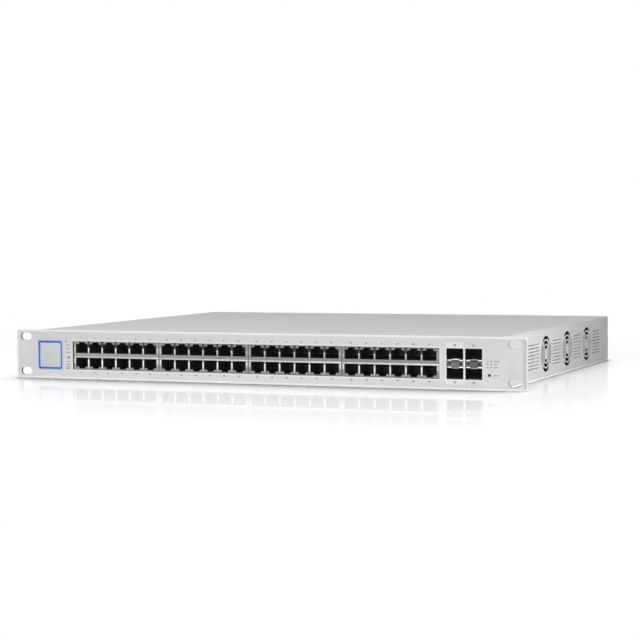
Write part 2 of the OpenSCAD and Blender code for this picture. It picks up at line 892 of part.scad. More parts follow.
// Screw terminals: the mains input near the inlet, and the low-voltage output at the front.
module power_terminals() {
    color("darkgreen") from_face() {
        block_at(inlet_x, power_board_rear - 14, board_top, terminal_size);
        block_at(dc_header_x, power_board_front + 3, board_top, [22, 9, 9]);
    }
}

// ---------- Power inlet ----------

// The inlet's outline, centred, with its two lower corners cut off.
module inlet_shape(w, h, corner) {
    polygon([
        [-w / 2, h / 2],
        [w / 2, h / 2],
        [w / 2, -h / 2 + corner],
        [w / 2 - corner, -h / 2],
        [-w / 2 + corner, -h / 2],
        [-w / 2, -h / 2 + corner]
    ]);
}

module inlet_cutout() {
    translate([inlet_x, 0, inlet_z]) along_y(rear_wall_in - 1, sheet_t + 2)
        square([inlet_w + 2 * inlet_wall + 0.4, inlet_h + 2 * inlet_wall + 0.4], center = true);
}

module inlet_pins() {
    color("silver") from_face() pin_solids();
}

module pin_solids() {
    y = rear_wall_out + inlet_flange.y - inlet_pin_mouth_gap - inlet_pin.y;
    translate([inlet_x, 0, inlet_z]) {
        for (s = [-1, 1])
            block_at(s * inlet_pin_x, y, -inlet_line_drop - inlet_pin.z / 2, inlet_pin);
        block_at(0, y, inlet_earth_rise - inlet_pin.z / 2, inlet_pin);
    }
}

module power_inlet() {
    face = rear_wall_out + inlet_flange.y;
    color("black") from_face() difference() {
        union() {
            translate([inlet_x, 0, inlet_z]) along_y(face - inlet_body_d, inlet_body_d)
                square([inlet_w + 2 * inlet_wall, inlet_h + 2 * inlet_wall], center = true);
            block_at(inlet_x, rear_wall_out, inlet_z - inlet_flange.z / 2, inlet_flange);
        }
        translate([inlet_x, 0, inlet_z]) along_y(face - inlet_cavity_d, inlet_cavity_d + 1)
            inlet_shape(inlet_w, inlet_h, inlet_corner);
        for (s = [-1, 1])
            rod_y([inlet_x + s * inlet_screw_pitch / 2, rear_wall_out - 1, inlet_z],
                m3_hole_r, inlet_flange.y + 2);
        pin_solids();
    }
}

module inlet_screws() {
    color("silver") from_face() for (s = [-1, 1])
        screw_y(inlet_x + s * inlet_screw_pitch / 2, rear_wall_out + inlet_flange.y, inlet_z,
            inlet_flange.y + 4);
}

module earth_screw() {
    color("gold") from_face() {
        rod_y([earth_x, rear_wall_out - 6, earth_z], earth_r, 6);
        rod_y([earth_x, rear_wall_out, earth_z], washer_r, washer_t);
        rod_y([earth_x, rear_wall_out + washer_t, earth_z], earth_head_r, earth_head_h);
    }
}

// ---------- Fans ----------

module fan_bracket() {
    half = fan_size / 2;
    corner = half - fan_hole_inset;
    color("silver") from_face() difference() {
        union() {
            box([bracket_in_x, fan_y(1) - half - bracket_end, sheet_t],
                [bracket_out_x, fan_y(fan_count) + half + bracket_end, fan_z + half]);
            for (y = bracket_foot_ys)
                box([bracket_in_x - bracket_foot.x, y - bracket_foot.y / 2, sheet_t],
                    [bracket_out_x, y + bracket_foot.y / 2, sheet_t + bracket_foot.z]);
        }
        for (y = bracket_foot_ys) translate([bracket_foot_x, y, 0])
            cylinder(r = m3_hole_r, h = sheet_t + bracket_foot.z + 1);
        for (k = fans) {
            rod_x([bracket_in_x - 1, fan_y(k), fan_z], fan_bore_r - 0.5, bracket_t + 2);
            for (sy = [-1, 1])
                for (sz = [-1, 1])
                    rod_x([bracket_in_x - 1, fan_y(k) + sy * corner, fan_z + sz * corner],
                        m3_r + thread_gap, bracket_t + 2);
        }
    }
}

// The fan's square frame, its four arms, and the fixed tube that the rotor's shaft turns in.
module fan_frame(k) {
    corner = fan_size / 2 - fan_hole_inset;
    color("dimgray") from_face() translate([fan_inner_x, fan_y(k), fan_z]) difference() {
        union() {
            rotate([90, 0, 90]) linear_extrude(fan_t) difference() {
                square(fan_size, center = true);
                circle(fan_bore_r);
            }
            rotate([90, 0, 90]) linear_extrude(fan_motor_t) {
                circle(fan_motor_r);
                for (a = [45, 135]) rotate(a) square([2 * fan_bore_r + 1, 2], center = true);
            }
            rod_x([1, 0, 0], fan_tube_r, fan_motor_t + fan_tube_l - 1);
        }
        rod_x([fan_motor_t - 1, 0, 0], fan_shaft_r + bearing_gap, fan_tube_l + 3);
        for (sy = [-1, 1])
            for (sz = [-1, 1]) rod_x([-1, sy * corner, sz * corner], fan_hole_r, fan_t + 2);
    }
}

// A hub like a cup, with its shaft inside and tilted blades around it.
module fan_rotor(k) {
    hub_end = fan_t - fan_face_gap;
    hub_start = hub_end - fan_hub_d;
    blade_mid = hub_end - fan_hub_d / 2;
    color("black") from_face() translate([fan_inner_x, fan_y(k), fan_z]) {
        difference() {
            rod_x([hub_start, 0, 0], fan_hub_r, fan_hub_d);
            rod_x([hub_start - 1, 0, 0], fan_hub_r - fan_hub_wall, fan_hub_d);
        }
        rod_x([fan_motor_t + 0.3, 0, 0], fan_shaft_r, hub_end - fan_motor_t - 0.3);
        intersection() {
            difference() {
                rod_x([hub_start, 0, 0], fan_tip_r, fan_hub_d);
                rod_x([hub_start - 1, 0, 0], fan_hub_r - fan_hub_wall / 2, fan_hub_d + 2);
            }
            for (n = [0:fan_blades - 1]) rotate([n * 360 / fan_blades, 0, 0])
                translate([blade_mid, 0, 0]) rotate([0, 0, fan_blade_tilt])
                    translate([-fan_blade_w / 2, -fan_blade_t / 2, 0])
                        cube([fan_blade_w, fan_blade_t, fan_tip_r + 1]);
        }
    }
}

module fan_screws() {
    corner = fan_size / 2 - fan_hole_inset;
    color("silver") from_face() for (k = fans) for (sy = [-1, 1]) for (sz = [-1, 1]) {
        y = fan_y(k) + sy * corner;
        z = fan_z + sz * corner;
        rod_x([fan_inner_x, y, z], m3_r, fan_t + bracket_t);
        rod_x([fan_inner_x - m3_head_h, y, z], m3_head_r, m3_head_h);
    }
}

// ---------- Leads held inside the case ----------

lead_r = 1.2;

// Mains leads: down from the inlet's tabs and forward into the input terminal.
module mains_leads() {
    tab_y = rear_wall_out + inlet_flange.y - inlet_pin_mouth_gap - inlet_pin.y;
    end_y = power_board_rear - 14 + terminal_size.y;
    end_z = board_top + terminal_size.z / 2;
    color("saddlebrown") from_face() for (s = [-1, 0, 1]) {
        z = inlet_z + (s == 0 ? inlet_earth_rise : -inlet_line_drop);
        wire([
            [inlet_x + s * inlet_pin_x, tab_y, z],
            [inlet_x + s * inlet_pin_x, tab_y - 4, z],
            [inlet_x + s * inlet_pin_x, end_y + 4, end_z],
            [inlet_x + s * inlet_pin_x, end_y, end_z]
        ], lead_r);
    }
}

// Low-voltage leads: from the output terminal, over the gap, into the main board's header.
module dc_leads() {
    start_y = power_board_front + 3;
    end_y = main_board_rear - 12 + header_size.y;
    z = board_top + 5;
    color("firebrick") from_face() for (k = [-1.5:1:1.5])
        wire([
            [dc_header_x + k * 3.2, start_y, z],
            [dc_header_x + k * 3.2, start_y - 3, z],
            [dc_header_x + k * 3.2, start_y - 6, z + 2],
            [dc_header_x + k * 3.2, end_y + 6, z + 2],
            [dc_header_x + k * 3.2, end_y + 3, z],
            [dc_header_x + k * 3.2, end_y, z]
        ], lead_r);
}

// Fan leads: from each fan's frame, along the fans, to its header on the main board.
module fan_leads() {
    color("dimgray") from_face() for (k = fans) {
        lane_x = fan_inner_x - 2.4 - 3 * k;
        z = board_top + 5 + 3 * k;
        head_x = fan_header_x + (2 - k) * fan_header_pitch;
        head_y = main_board_rear - 22 + fan_header_size.y;
        tail_y = main_board_rear + 4 + 4 * k;
        wire([
            [fan_inner_x, fan_y(k) + 11, fan_z + 18],
            [lane_x, fan_y(k) + 11, fan_z + 18],
            [lane_x, fan_y(k) + 11, z],
            [lane_x, tail_y, z],
            [head_x, tail_y, z],
            [head_x, head_y + 3, board_top + 4],
            [head_x, head_y, board_top + 4]
        ], lead_r);
    }
}

base_pan();
top_cover();
cover_screws();
front_panel();
panel_studs();
panel_nuts();
status_light_ring();
status_badge();
status_led_board();
for (g = groups) {
    jack_shield(g);
    jack_housing(g);
    jack_contacts(g);
    jack_lamps(g);
}
module_cage();
module_cage_fingers();
module_connectors();
module_cage_lamps();
reset_switch_body();
reset_plunger();
main_board();
board_posts();
board_screws();
board_chips();
board_headers();
switch_chip_heatsink();
port_chip_heatsinks();
power_board();
power_insulator();
power_transformers();
power_capacitors();
power_choke();
power_heatsinks();
power_terminals();
power_inlet();
inlet_pins();
inlet_screws();
earth_screw();
fan_bracket();
fan_screws();
for (k = fans) {
    fan_frame(k);
    fan_rotor(k);
}
mains_leads();
dc_leads();
fan_leads();
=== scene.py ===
# %% [markdown]
# # A rack-mount network switch
# The switch is a flat steel case, one rack unit high. Its front panel carries a square blue
# light, forty-eight copper ports in four blocks, and a cage with four module bays.
# The case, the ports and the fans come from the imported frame, and they keep their shape.
# This lesson adds what paint, print and bent metal need, and gives every piece its finish.

# %% Load the frame
import math

import bpy
from mathutils import Matrix, Vector


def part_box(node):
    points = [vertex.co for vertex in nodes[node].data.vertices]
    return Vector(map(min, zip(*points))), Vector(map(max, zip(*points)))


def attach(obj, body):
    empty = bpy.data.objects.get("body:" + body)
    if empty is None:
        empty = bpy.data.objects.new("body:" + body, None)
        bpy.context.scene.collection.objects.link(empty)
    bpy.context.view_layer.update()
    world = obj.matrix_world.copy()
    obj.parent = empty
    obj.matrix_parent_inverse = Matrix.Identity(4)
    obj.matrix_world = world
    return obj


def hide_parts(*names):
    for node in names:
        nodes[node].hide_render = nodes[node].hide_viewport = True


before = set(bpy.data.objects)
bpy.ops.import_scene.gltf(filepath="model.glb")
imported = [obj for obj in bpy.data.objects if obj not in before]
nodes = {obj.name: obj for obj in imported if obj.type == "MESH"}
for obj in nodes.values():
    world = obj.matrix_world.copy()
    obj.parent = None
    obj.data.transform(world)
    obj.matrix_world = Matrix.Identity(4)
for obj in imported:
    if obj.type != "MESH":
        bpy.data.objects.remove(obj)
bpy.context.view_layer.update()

# %% [markdown]
# The frame is in metres, but sheet metal is thought of in millimetres. One number turns one
# into the other. The panel's face is the plane that most pieces are placed from.

# %% Places to measure from
MM = 0.001
panel_low, panel_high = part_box("front_panel")
face_y = panel_low.y
port_mid_z = sum(c.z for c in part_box("jack_shield_1")) / 2
print("panel face at y =", round(face_y / MM, 2), "mm")

# %% [markdown]
# ## The camera
# The unit is seen from the right and slightly from above, through a long lens, so its long
# edges run nearly level. The camera is set by three angles, and its axes are built from them:
# where it looks, what is right, and what is up.

# %% Camera
# Angles in degrees, the lens and the sensor's width in millimetres, and the camera's stand in
# millimetres from the middle of the panel's foot.
TURN, DIP, ROLL = 23.1155, 2.8696, -0.5171
LENS, SENSOR = 97.244, 36
STAND = Vector((636.898, -1350.289, 129.691))

turn, dip, roll = (math.radians(angle) for angle in (TURN, DIP, ROLL))
look = Vector((-math.sin(turn) * math.cos(dip), math.cos(turn) * math.cos(dip), -math.sin(dip)))
level = Vector((math.cos(turn), math.sin(turn), 0))
up = level.cross(look)
side = level * math.cos(roll) + up * math.sin(roll)
top = up * math.cos(roll) - level * math.sin(roll)

bpy.ops.object.camera_add()
camera = bpy.context.object
camera.name = "camera"
camera.data.sensor_width = SENSOR
camera.data.lens = LENS
camera.data.clip_start, camera.data.clip_end = 0.05, 60
place = STAND * MM + Vector((0, face_y, 0))
camera.matrix_world = Matrix.Translation(place) @ Matrix((side, top, -look)).transposed().to_4x4()
bpy.context.scene.camera = camera
bpy.context.scene.view_settings.view_transform = "Standard"
print("camera at", [round(v, 3) for v in place])

# %% [markdown]
# ## Shader maths
# A material is a network of nodes, but its sums read better as Python. `Value` wraps one
# output socket, and its operators add Math nodes. `Network` has one method that adds any
# other node. `Paint` is the network of a material that starts from a Principled shader.

# %% Values and paints
class Value:
    def __init__(self, network, socket):
        self.network, self.socket = network, socket

    def math(self, operation, *inputs):
        return self.network.add("ShaderNodeMath", {"operation": operation}, inputs)

    def __add__(self, other): return self.math("ADD", self, other)
    def __radd__(self, other): return self.math("ADD", other, self)
    def __sub__(self, other): return self.math("SUBTRACT", self, other)
    def __rsub__(self, other): return self.math("SUBTRACT", other, self)
    def __mul__(self, other): return self.math("MULTIPLY", self, other)
    def __rmul__(self, other): return self.math("MULTIPLY", other, self)
    def __truediv__(self, other): return self.math("DIVIDE", self, other)
    def __rtruediv__(self, other): return self.math("DIVIDE", other, self)
    def __pow__(self, other): return self.math("POWER", self, other)
    def __lt__(self, other): return self.math("LESS_THAN", self, other)
    def __gt__(self, other): return self.math("GREATER_THAN", self, other)
    def __abs__(self): return self.math("ABSOLUTE", self)
    def low(self, other): return self.math("MINIMUM", self, other)
    def high(self, other): return self.math("MAXIMUM", self, other)
    def fraction(self): return self.math("FRACT", self)
    def wrap(self, step): return self.math("MODULO", self, step)

    def ease(self, start, end):
        """0 before start, 1 after end, and a smooth step between."""
        settings = {"interpolation_type": "SMOOTHSTEP"}
        return self.network.add("ShaderNodeMapRange", settings, {0: self, 1: start, 2: end})


class Network:
    def __init__(self, tree):
        self.tree = tree

    def link(self, value, socket):
        """Gives an input socket a number, a colour, or another socket's value."""
        if isinstance(value, Value):
            self.tree.links.new(value.socket, socket)
        else:
            socket.default_value = value

    def add(self, kind, settings, inputs, output=0):
        """One node: its settings first, then the values or links of its sockets."""
        node = self.tree.nodes.new(kind)
        for key, value in settings.items():
            setattr(node, key, value)
        pairs = inputs.items() if isinstance(inputs, dict) else enumerate(inputs)
        for key, value in pairs:
            self.link(value, node.inputs[key])
        return Value(self, node.outputs[output])


class Paint(Network):
    def __init__(self, name, color, roughness, metallic=0.0, **fixed):
        self.material = bpy.data.materials.new(name)
        self.material.use_nodes = True
        super().__init__(self.material.node_tree)
        self.shader = self.tree.nodes["Principled BSDF"]
        self.coords = self.tree.nodes.new("ShaderNodeTexCoord").outputs["Object"]
        self.set("Base Color", (*color, 1))
        self.set("Roughness", roughness)
        self.set("Metallic", metallic)
        for key, value in fixed.items():
            self.set(key.replace("_", " "), value)

    def set(self, name, value):
        self.link(value, self.shader.inputs[name])

    def where(self):
        """The x, y and z of a point on the piece, in metres."""
        point = Value(self, self.coords)
        return [self.add("ShaderNodeSeparateXYZ", {}, [point], k) for k in range(3)]

    def stretched(self, scale):
        """The piece's coordinates, scaled by a number or by one number for each axis."""
        scale = scale if isinstance(scale, tuple) else (scale,) * 3
        inputs = {"Vector": Value(self, self.coords), "Scale": scale}
        return self.add("ShaderNodeMapping", {}, inputs)

    def noise(self, scale, detail=3.0):
        inputs = {"Vector": self.stretched(scale), "Scale": 1.0, "Detail": detail,
                  "Roughness": 0.55}
        return self.add("ShaderNodeTexNoise", {}, inputs)

    def mix(self, factor, first, second):
        """A colour between two colours."""
        first, second = (c if isinstance(c, Value) else (*c, 1) for c in (first, second))
        inputs = {0: factor, 6: first, 7: second}
        return self.add("ShaderNodeMix", {"data_type": "RGBA"}, inputs, 2)

    def tint(self, factor, first, second):
        """Makes the piece's own colour one between two colours."""
        self.set("Base Color", self.mix(factor, first, second))

    def bump(self, height, strength, distance):
        inputs = {"Strength": strength, "Distance": distance, "Height": height}
        self.set("Normal", self.add("ShaderNodeBump", {}, inputs))


def dress(paint, *names):
    """Gives CAD nodes a finish through their objects' material slots."""
    for name in names:
        node = nodes[name]
        if not node.material_slots:
            node.data.materials.append(None)
        for slot in node.material_slots:
            slot.material = paint.material
    print(paint.material.name, "on", len(names), "nodes")


def blocks(kind):
    """The names of one kind of node in the four blocks of ports."""
    return [f"{kind}_{g}" for g in range(1, 5)]

# %% [markdown]
# ## Ways of working on a mesh
# Pieces are made as by hand: something is added at its size and place, shaped in edit mode, and
# finished with modifiers that are applied. Each operator works on whatever is selected, so
# these helpers first clear the selection and then choose faces or edges by their place.

# %% Helpers for modelling
def only(piece):
    if bpy.context.object and bpy.context.object.mode == "EDIT":
        bpy.ops.object.mode_set(mode="OBJECT")
    bpy.ops.object.select_all(action="DESELECT")
    piece.select_set(True)
    bpy.context.view_layer.objects.active = piece
    return piece


def add_shape(operator, name, **settings):
    bpy.ops.object.select_all(action="DESELECT")
    operator(**settings)
    piece = bpy.context.object
    piece.name = piece.data.name = name
    return piece


def settle(piece):
    """Puts the piece's place, turn and size into its mesh."""
    only(piece)
    bpy.ops.object.transform_apply(location=True, rotation=True, scale=True)
    return piece


def edit_all(piece):
    """Opens a piece in edit mode with all of it selected."""
    only(piece)
    bpy.ops.object.mode_set(mode="EDIT")
    bpy.ops.mesh.select_all(action="SELECT")


def choose(piece, kind, test):
    """Opens a piece with the faces or edges selected whose centre and direction pass a test."""
    only(piece)
    mesh = piece.data
    for part in (*mesh.vertices, *mesh.edges, *mesh.polygons):
        part.select = False
    if kind == "faces":
        for face in mesh.polygons:
            face.select = bool(test(face.center, face.normal))
    else:
        for edge in mesh.edges:
            a, b = (mesh.vertices[k].co for k in edge.vertices)
            edge.select = bool(test((a + b) / 2, (b - a).normalized()))
    bpy.ops.object.mode_set(mode="EDIT")
    bpy.ops.mesh.select_mode(type="FACE" if kind == "faces" else "EDGE")


def done(piece):
    bpy.ops.object.mode_set(mode="OBJECT")
    return piece


def modify(piece, kind, **settings):
    """Adds a modifier and applies it."""
    only(piece)
    modifier = piece.modifiers.new(kind.lower(), kind)
    for key, value in settings.items():
        setattr(modifier, key, value)
    bpy.ops.object.modifier_apply(modifier=modifier.name)
    return piece


def smooth(piece, degrees=35):
    only(piece)
    bpy.ops.object.shade_smooth_by_angle(angle=math.radians(degrees))
    return piece


def bevel(piece, width, segments, degrees=30):
    """Rounds the edges of a piece that are sharper than an angle. The width is in millimetres."""
    modify(piece, "BEVEL", width=width * MM, segments=segments, limit_method="ANGLE",
           angle_limit=math.radians(degrees))
    return smooth(piece)


def join(pieces, name):
    only(pieces[0])
    for piece in pieces:
        piece.select_set(True)
    bpy.ops.object.join()
    joined = bpy.context.object
    joined.name = joined.data.name = name
    return joined


def copies(piece, name, places):
    """One joined piece that holds a copy of a settled piece at each place, in metres."""
    made = []
    for place in places:
        twin = piece.copy()
        twin.data = piece.data.copy()
        twin.data.transform(Matrix.Translation(place))
        bpy.context.collection.objects.link(twin)
        made.append(twin)
    bpy.data.objects.remove(piece)
    return join(made, name)


def finish_piece(piece, paint, body="chassis"):
    """Gives a piece its finish, and lets it ride on its body."""
    piece.data.materials.clear()
    piece.data.materials.append(paint.material)
    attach(piece, body)
    print(piece.name, len(piece.data.polygons), "faces")
    return piece


def softened(node, width, segments):
    """A copy of a CAD node's mesh, merged, with its sharp edges rounded as paint rounds them."""
    mesh = nodes[node].data.copy()
    piece = bpy.data.objects.new(node + "_soft", mesh)
    bpy.context.collection.objects.link(piece)
    mesh.name = piece.name
    edit_all(piece)
    bpy.ops.mesh.remove_doubles(threshold=0.001 * MM)
    bpy.ops.mesh.dissolve_limited(angle_limit=math.radians(0.5))
    bevel(done(piece), width, segments)
    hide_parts(node)
    return piece

# %% [markdown]
# ## Powder coat
# The case and the panel are steel with a fine, matt, pale-grey powder coat. Powder melts into
# a skin that is level from afar and slightly pebbled up close, so the colour barely changes,
# while a small bump breaks up the highlights. Two noises do it: one of about half a
# millimetre for the pebbles, and a broad one for the faint unevenness of the gloss. Along its
# foot the case has a painted highlight, a pale band where its fold would catch the floor's light.

# %% Case paint
def powder_coat(name, color, roughness):
    paint = Paint(name, color, roughness, Specular_IOR_Level=0.4)
    pebbles = paint.noise(2600, detail=2.0)
    cloud = paint.noise(9, detail=2.0)
    darker = tuple(c * 0.965 for c in color)
    paint.tone = paint.mix((cloud * 0.7 + pebbles * 0.3).ease(0.3, 0.7), darker, color)
    paint.set("Base Color", paint.tone)
    paint.set("Roughness", roughness - 0.05 + cloud * 0.08 + pebbles * 0.05)
    paint.bump(pebbles, 0.12, 0.02 * MM)
    return paint


case_paint = powder_coat("case_paint", (0.60, 0.605, 0.615), 0.46)
case_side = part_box("top_cover")[1].x
FOLD_H, FOLD_W = 1.4 * MM, 0.5 * MM
x, y, z = case_paint.where()
# Painted highlight: a pale band along the foot of each side.
foot_highlight = (z < FOLD_H) * (abs(x) > case_side - FOLD_W)
case_paint.tint(foot_highlight * 0.9, case_paint.tone, (0.95, 0.95, 0.96))
dress(case_paint, "top_cover", "base_pan")

# %% [markdown]
# The front panel has the same coat in a paler shade. What changes it from place to place is
# how far a point lies from a box: a painted highlight runs pale along every edge, a blue glow
# surrounds the light, the legend strip is warmer, and a pale field frames two of the bays.
# The flat of the right-hand end is painted a shade darker than its edges, as painted shade.
# Inside the slots and windows the walls are painted dark, as painted shade.

# %% Distances on the panel
def box_distance(paint, centre_x, centre_z, half_w, half_h):
    """How far a point of the panel lies outside an upright rectangle, in millimetres."""
    x, y, z = paint.where()
    out_x = (abs(x / MM - centre_x) - half_w).high(0)
    out_z = (abs(z / MM - centre_z) - half_h).high(0)
    return (out_x * out_x + out_z * out_z) ** 0.5


def window_box(first, last, gap):
    """The centre and half size of the window around some nodes, in millimetres."""
    low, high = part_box(first)[0] / MM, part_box(last)[1] / MM
    middle, half = (low + high) / 2, (high - low) / 2
    return middle.x, middle.z, half.x + gap, half.z + gap


# The light's middle and size, the printed areas' middles and half sizes, the panel's
# corners and painted edge highlight, how the bays stand, and how deep the painted shade in
# the slots lies behind the face, all in millimetres.
LIGHT_X, LIGHT_Z, RING_W, RING_H = -207.2, 21.3, 24.8, 25.4
LEGEND, FIELD = (-188.1, 21.4, 3.7, 12.8), (180.9, 21.65, 7.7, 17.2)
CORNER, EDGE = 2.0, 1.4
COLUMN, BAY_HALF_W = 8.15, 7.35
RECESS_SHADE_FROM, RECESS_SHADE_TO = 0.3, 2.35
HALF_W, HALF_H = (panel_high.x - panel_low.x) / 2 / MM, (panel_high.z - panel_low.z) / 2 / MM
cage_x, cage_z, _, cage_h = window_box("module_cage", "module_cage", 0.2)
bays = [(cage_x + s * COLUMN, cage_z, BAY_HALF_W, cage_h) for s in (-1, 1)]
ports = window_box("jack_shield_1", "jack_shield_4", 0.4)
print("panel", round(HALF_W * 2, 1), "mm wide, cage at x =", round(cage_x, 1), "mm")

# %% [markdown]
# Each change is a mask between 0 and 1 that is laid over the coat, from the widest to the
# finest: glow, legend, field, the painted highlights on the rims of the windows and of the
# plate, and the painted shade on its end.

# %% Panel paint
paint = panel_paint = powder_coat("panel_paint", (0.78, 0.78, 0.795), 0.42)
outline = box_distance(paint, 0, HALF_H, HALF_W - CORNER, HALF_H - CORNER)
x, y, z = paint.where()
light_gap = box_distance(paint, LIGHT_X, LIGHT_Z, RING_W / 2, RING_H / 2)
legend = 1 - box_distance(paint, *LEGEND).ease(0.1, 0.4)
field = 1 - box_distance(paint, *FIELD).ease(0.1, 0.4)
# Painted highlight: a pale band along the plate's edges, stronger towards the foot.
edge_highlight_starts, edge_highlight_blend = 1 - EDGE / CORNER, 0.12
edge_highlight = (outline / CORNER).ease(edge_highlight_starts - edge_highlight_blend, edge_highlight_starts + edge_highlight_blend)
# Painted highlight: a pale rim around the port and bay windows.
window_highlight = 1 - box_distance(paint, *ports).ease(0.7, 1.0)
for bay in bays:
    window_highlight = window_highlight.high(1 - box_distance(paint, *bay).ease(0.7, 1.0))
# Painted shade: the walls inside the slots and windows are painted near black.
inside = (y > face_y + RECESS_SHADE_FROM * MM) * (y < face_y + RECESS_SHADE_TO * MM)
inside = inside * (outline < CORNER - 0.4)

# Painted glow: the coat is tinted blue around the light.
tone = paint.mix((1 - light_gap.ease(0, 6)) * 0.2, paint.tone, (0.60, 0.69, 0.90))
tone = paint.mix((1 - light_gap.ease(0.5, 1.7)) * 0.6, tone, (0.50, 0.61, 0.94))
tone = paint.mix(legend * 0.5, tone, (0.80, 0.79, 0.76))
tone = paint.mix(field * 0.8, tone, (0.90, 0.90, 0.91))
tone = paint.mix(window_highlight * (0.7 + field * 0.3), tone, (0.96, 0.96, 0.97))
tone = paint.mix(edge_highlight * (1.0 - (z / MM).ease(10, 30) * 0.3), tone, (0.97, 0.97, 0.98))
# Painted shade: the flat of the right-hand end is painted darker.
end_flat = 1 - abs(z / MM - HALF_H).ease(HALF_H - 3, HALF_H - 1)
end_shade = (x / MM).ease(238.5, 239.8) * end_flat
tone = paint.mix(end_shade * 0.9, tone, (0.64, 0.64, 0.65))
paint.tint(inside, tone, (0.07, 0.07, 0.075))

front_plate = softened("front_panel", 0.35, segments=3)
finish_piece(front_plate, panel_paint)

# %% [markdown]
# ## The folded cover
# The cover is one sheet, folded down both sides. Its slots and fan guards are punched, so
# their edges are crisp but never sharp. A copy of the frame's cover gets a very small bevel,
# which is enough for each edge to catch a thin line of light.

# %% Cover
cover = softened("top_cover", 0.12, segments=1)
finish_piece(cover, case_paint)

# %% [markdown]
# ## The square light
# A blue light guide sits in the panel around a pale square tile. The guide is a thin rounded
# frame that stands nearly flush. It starts as a plane: its corners are rounded, its inner
# part is inset and removed, and the frame that is left is pulled forward and bevelled.

# %% Light ring and badge tile
def upright(piece):
    """Stands a flat shape up, facing the front."""
    piece.rotation_euler = (math.radians(90), 0, 0)
    return settle(piece)


def rounded_plate(name, width, height, radius, steps=5):
    """A flat plate in the X-Z plane, facing -Y, with its corners rounded, at the origin."""
    plate = add_shape(bpy.ops.mesh.primitive_plane_add, name, size=1)
    plate.scale = (width * MM, height * MM, 1)
    edit_all(settle(plate))
    bpy.ops.mesh.bevel(offset=radius * MM, segments=steps, affect="VERTICES")
    return upright(done(plate))


def thicken_forward(piece, depth):
    """Pulls a flat plate that faces the front forward into a solid."""
    edit_all(piece)
    bpy.ops.mesh.extrude_region_move(TRANSFORM_OT_translate={"value": (0, -depth * MM, 0)})
    bpy.ops.mesh.select_all(action="SELECT")
    bpy.ops.mesh.normals_make_consistent(inside=False)
    return done(piece)


def move(piece, x, y, z):
    """Moves a piece from the origin to a place in millimetres, with Y from the panel's face."""
    piece.location = (x * MM, face_y + y * MM, z * MM)
    return settle(piece)


TILE_W, TILE_H, GUIDE_W, BACK = 21.3, 21.9, 1.7, 3.0
ring = rounded_plate("light_ring", RING_W, RING_H, 2.3)
edit_all(ring)
bpy.ops.mesh.inset(thickness=GUIDE_W * MM, depth=0)
bpy.ops.mesh.delete(type="FACE")
thicken_forward(done(ring), BACK)
bevel(move(ring, LIGHT_X, BACK, LIGHT_Z), 0.35, 3, 50)

tile = rounded_plate("badge_tile", TILE_W, TILE_H, 0.9)
thicken_forward(tile, BACK - 0.4)
bevel(move(tile, LIGHT_X, BACK, LIGHT_Z), 0.3, 3, 50)

# %% [markdown]
# The guide glows evenly, so its blue goes to both the base colour and the emission. Its two
# edges are painted paler, as painted glow. The tile is a pale satin plastic with faint cloudy
# tints, and the guide's light leaks into its rim.

# %% Light ring and tile finishes
ring_paint = Paint("light_ring_paint", (0.04, 0.10, 0.34), 0.3, Emission_Strength=0.25)
shine = ring_paint.noise(60, detail=1.0)
blue = ring_paint.mix(shine.ease(0.3, 0.7), (0.03, 0.085, 0.30), (0.05, 0.12, 0.38))
across = box_distance(ring_paint, LIGHT_X, LIGHT_Z, 10.1, 10.4)
# Painted glow: the guide's two edges are tinted paler.
beside = abs(across - 1.45).ease(0.45, 0.8)
ring_paint.tint(beside * 0.8, blue, (0.42, 0.54, 0.86))
ring_paint.set("Emission Color", ring_paint.mix(shine, (0.03, 0.09, 0.32), (0.05, 0.13, 0.42)))
ring_paint.set("Roughness", 0.22 + ring_paint.noise(900) * 0.12)
finish_piece(ring, ring_paint)
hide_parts("status_light_ring")

tile_paint = Paint("badge_tile_paint", (0.70, 0.71, 0.71), 0.35)
x, y, z = tile_paint.where()
warm = tile_paint.noise(70, detail=1.0).ease(0.35, 0.65)
pale = tile_paint.mix(warm, (0.68, 0.71, 0.68), (0.71, 0.72, 0.75))
out_x, out_z = abs(x / MM - LIGHT_X) / (TILE_W / 2), abs(z / MM - LIGHT_Z) / (TILE_H / 2)
tile_paint.tint(out_x.high(out_z).ease(0.92, 0.97), pale, (0.74, 0.83, 0.99))
tile_paint.set("Roughness", 0.3 + tile_paint.noise(1500, detail=1.0) * 0.1)
tile_paint.bump(tile_paint.noise(3200, detail=1.0), 0.06, 0.01 * MM)
finish_piece(tile, tile_paint)
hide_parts("status_badge")

# %% [markdown]
# ## The copper ports
# Each block of twelve ports has a stamped shield of thin nickel-plated steel over a black
# plastic body. Between two ports a bar of the shield bulges forward into a soft spring, which
# touches a plug's shell. The flat bars come from the frame; the springs are added here.
# Sheet steel keeps fine lines from its rolling, and its plating is slightly cloudy.

# %% Rolled metal
def rolled_metal(name, color, roughness, grain, strength=0.1):
    """Sheet metal with fine lines from its rolling, and cloudy plating."""
    paint = Paint(name, color, roughness, 1.0)
    lines = paint.noise(grain, detail=3.0)
    cloud = paint.noise(260, detail=2.0)
    dull = tuple(c * 0.8 for c in color)
    paint.tone = paint.mix((lines * 0.4 + cloud * 0.6).ease(0.3, 0.7), dull, color)
    paint.set("Base Color", paint.tone)
    paint.set("Roughness", roughness - 0.06 + cloud * 0.1 + lines * 0.06)
    paint.bump(lines, strength, 0.01 * MM)
    return paint


PITCH = 14
SHADED_STEEL = (0.24, 0.24, 0.25)
ALONG, INWARD = (90, 2600, 2600), (2600, 200, 2600)
group_x = [sum(c.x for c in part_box(shield)) / 2 / MM for shield in blocks("jack_shield")]
print("blocks at x =", [round(middle, 1) for middle in group_x], "mm")
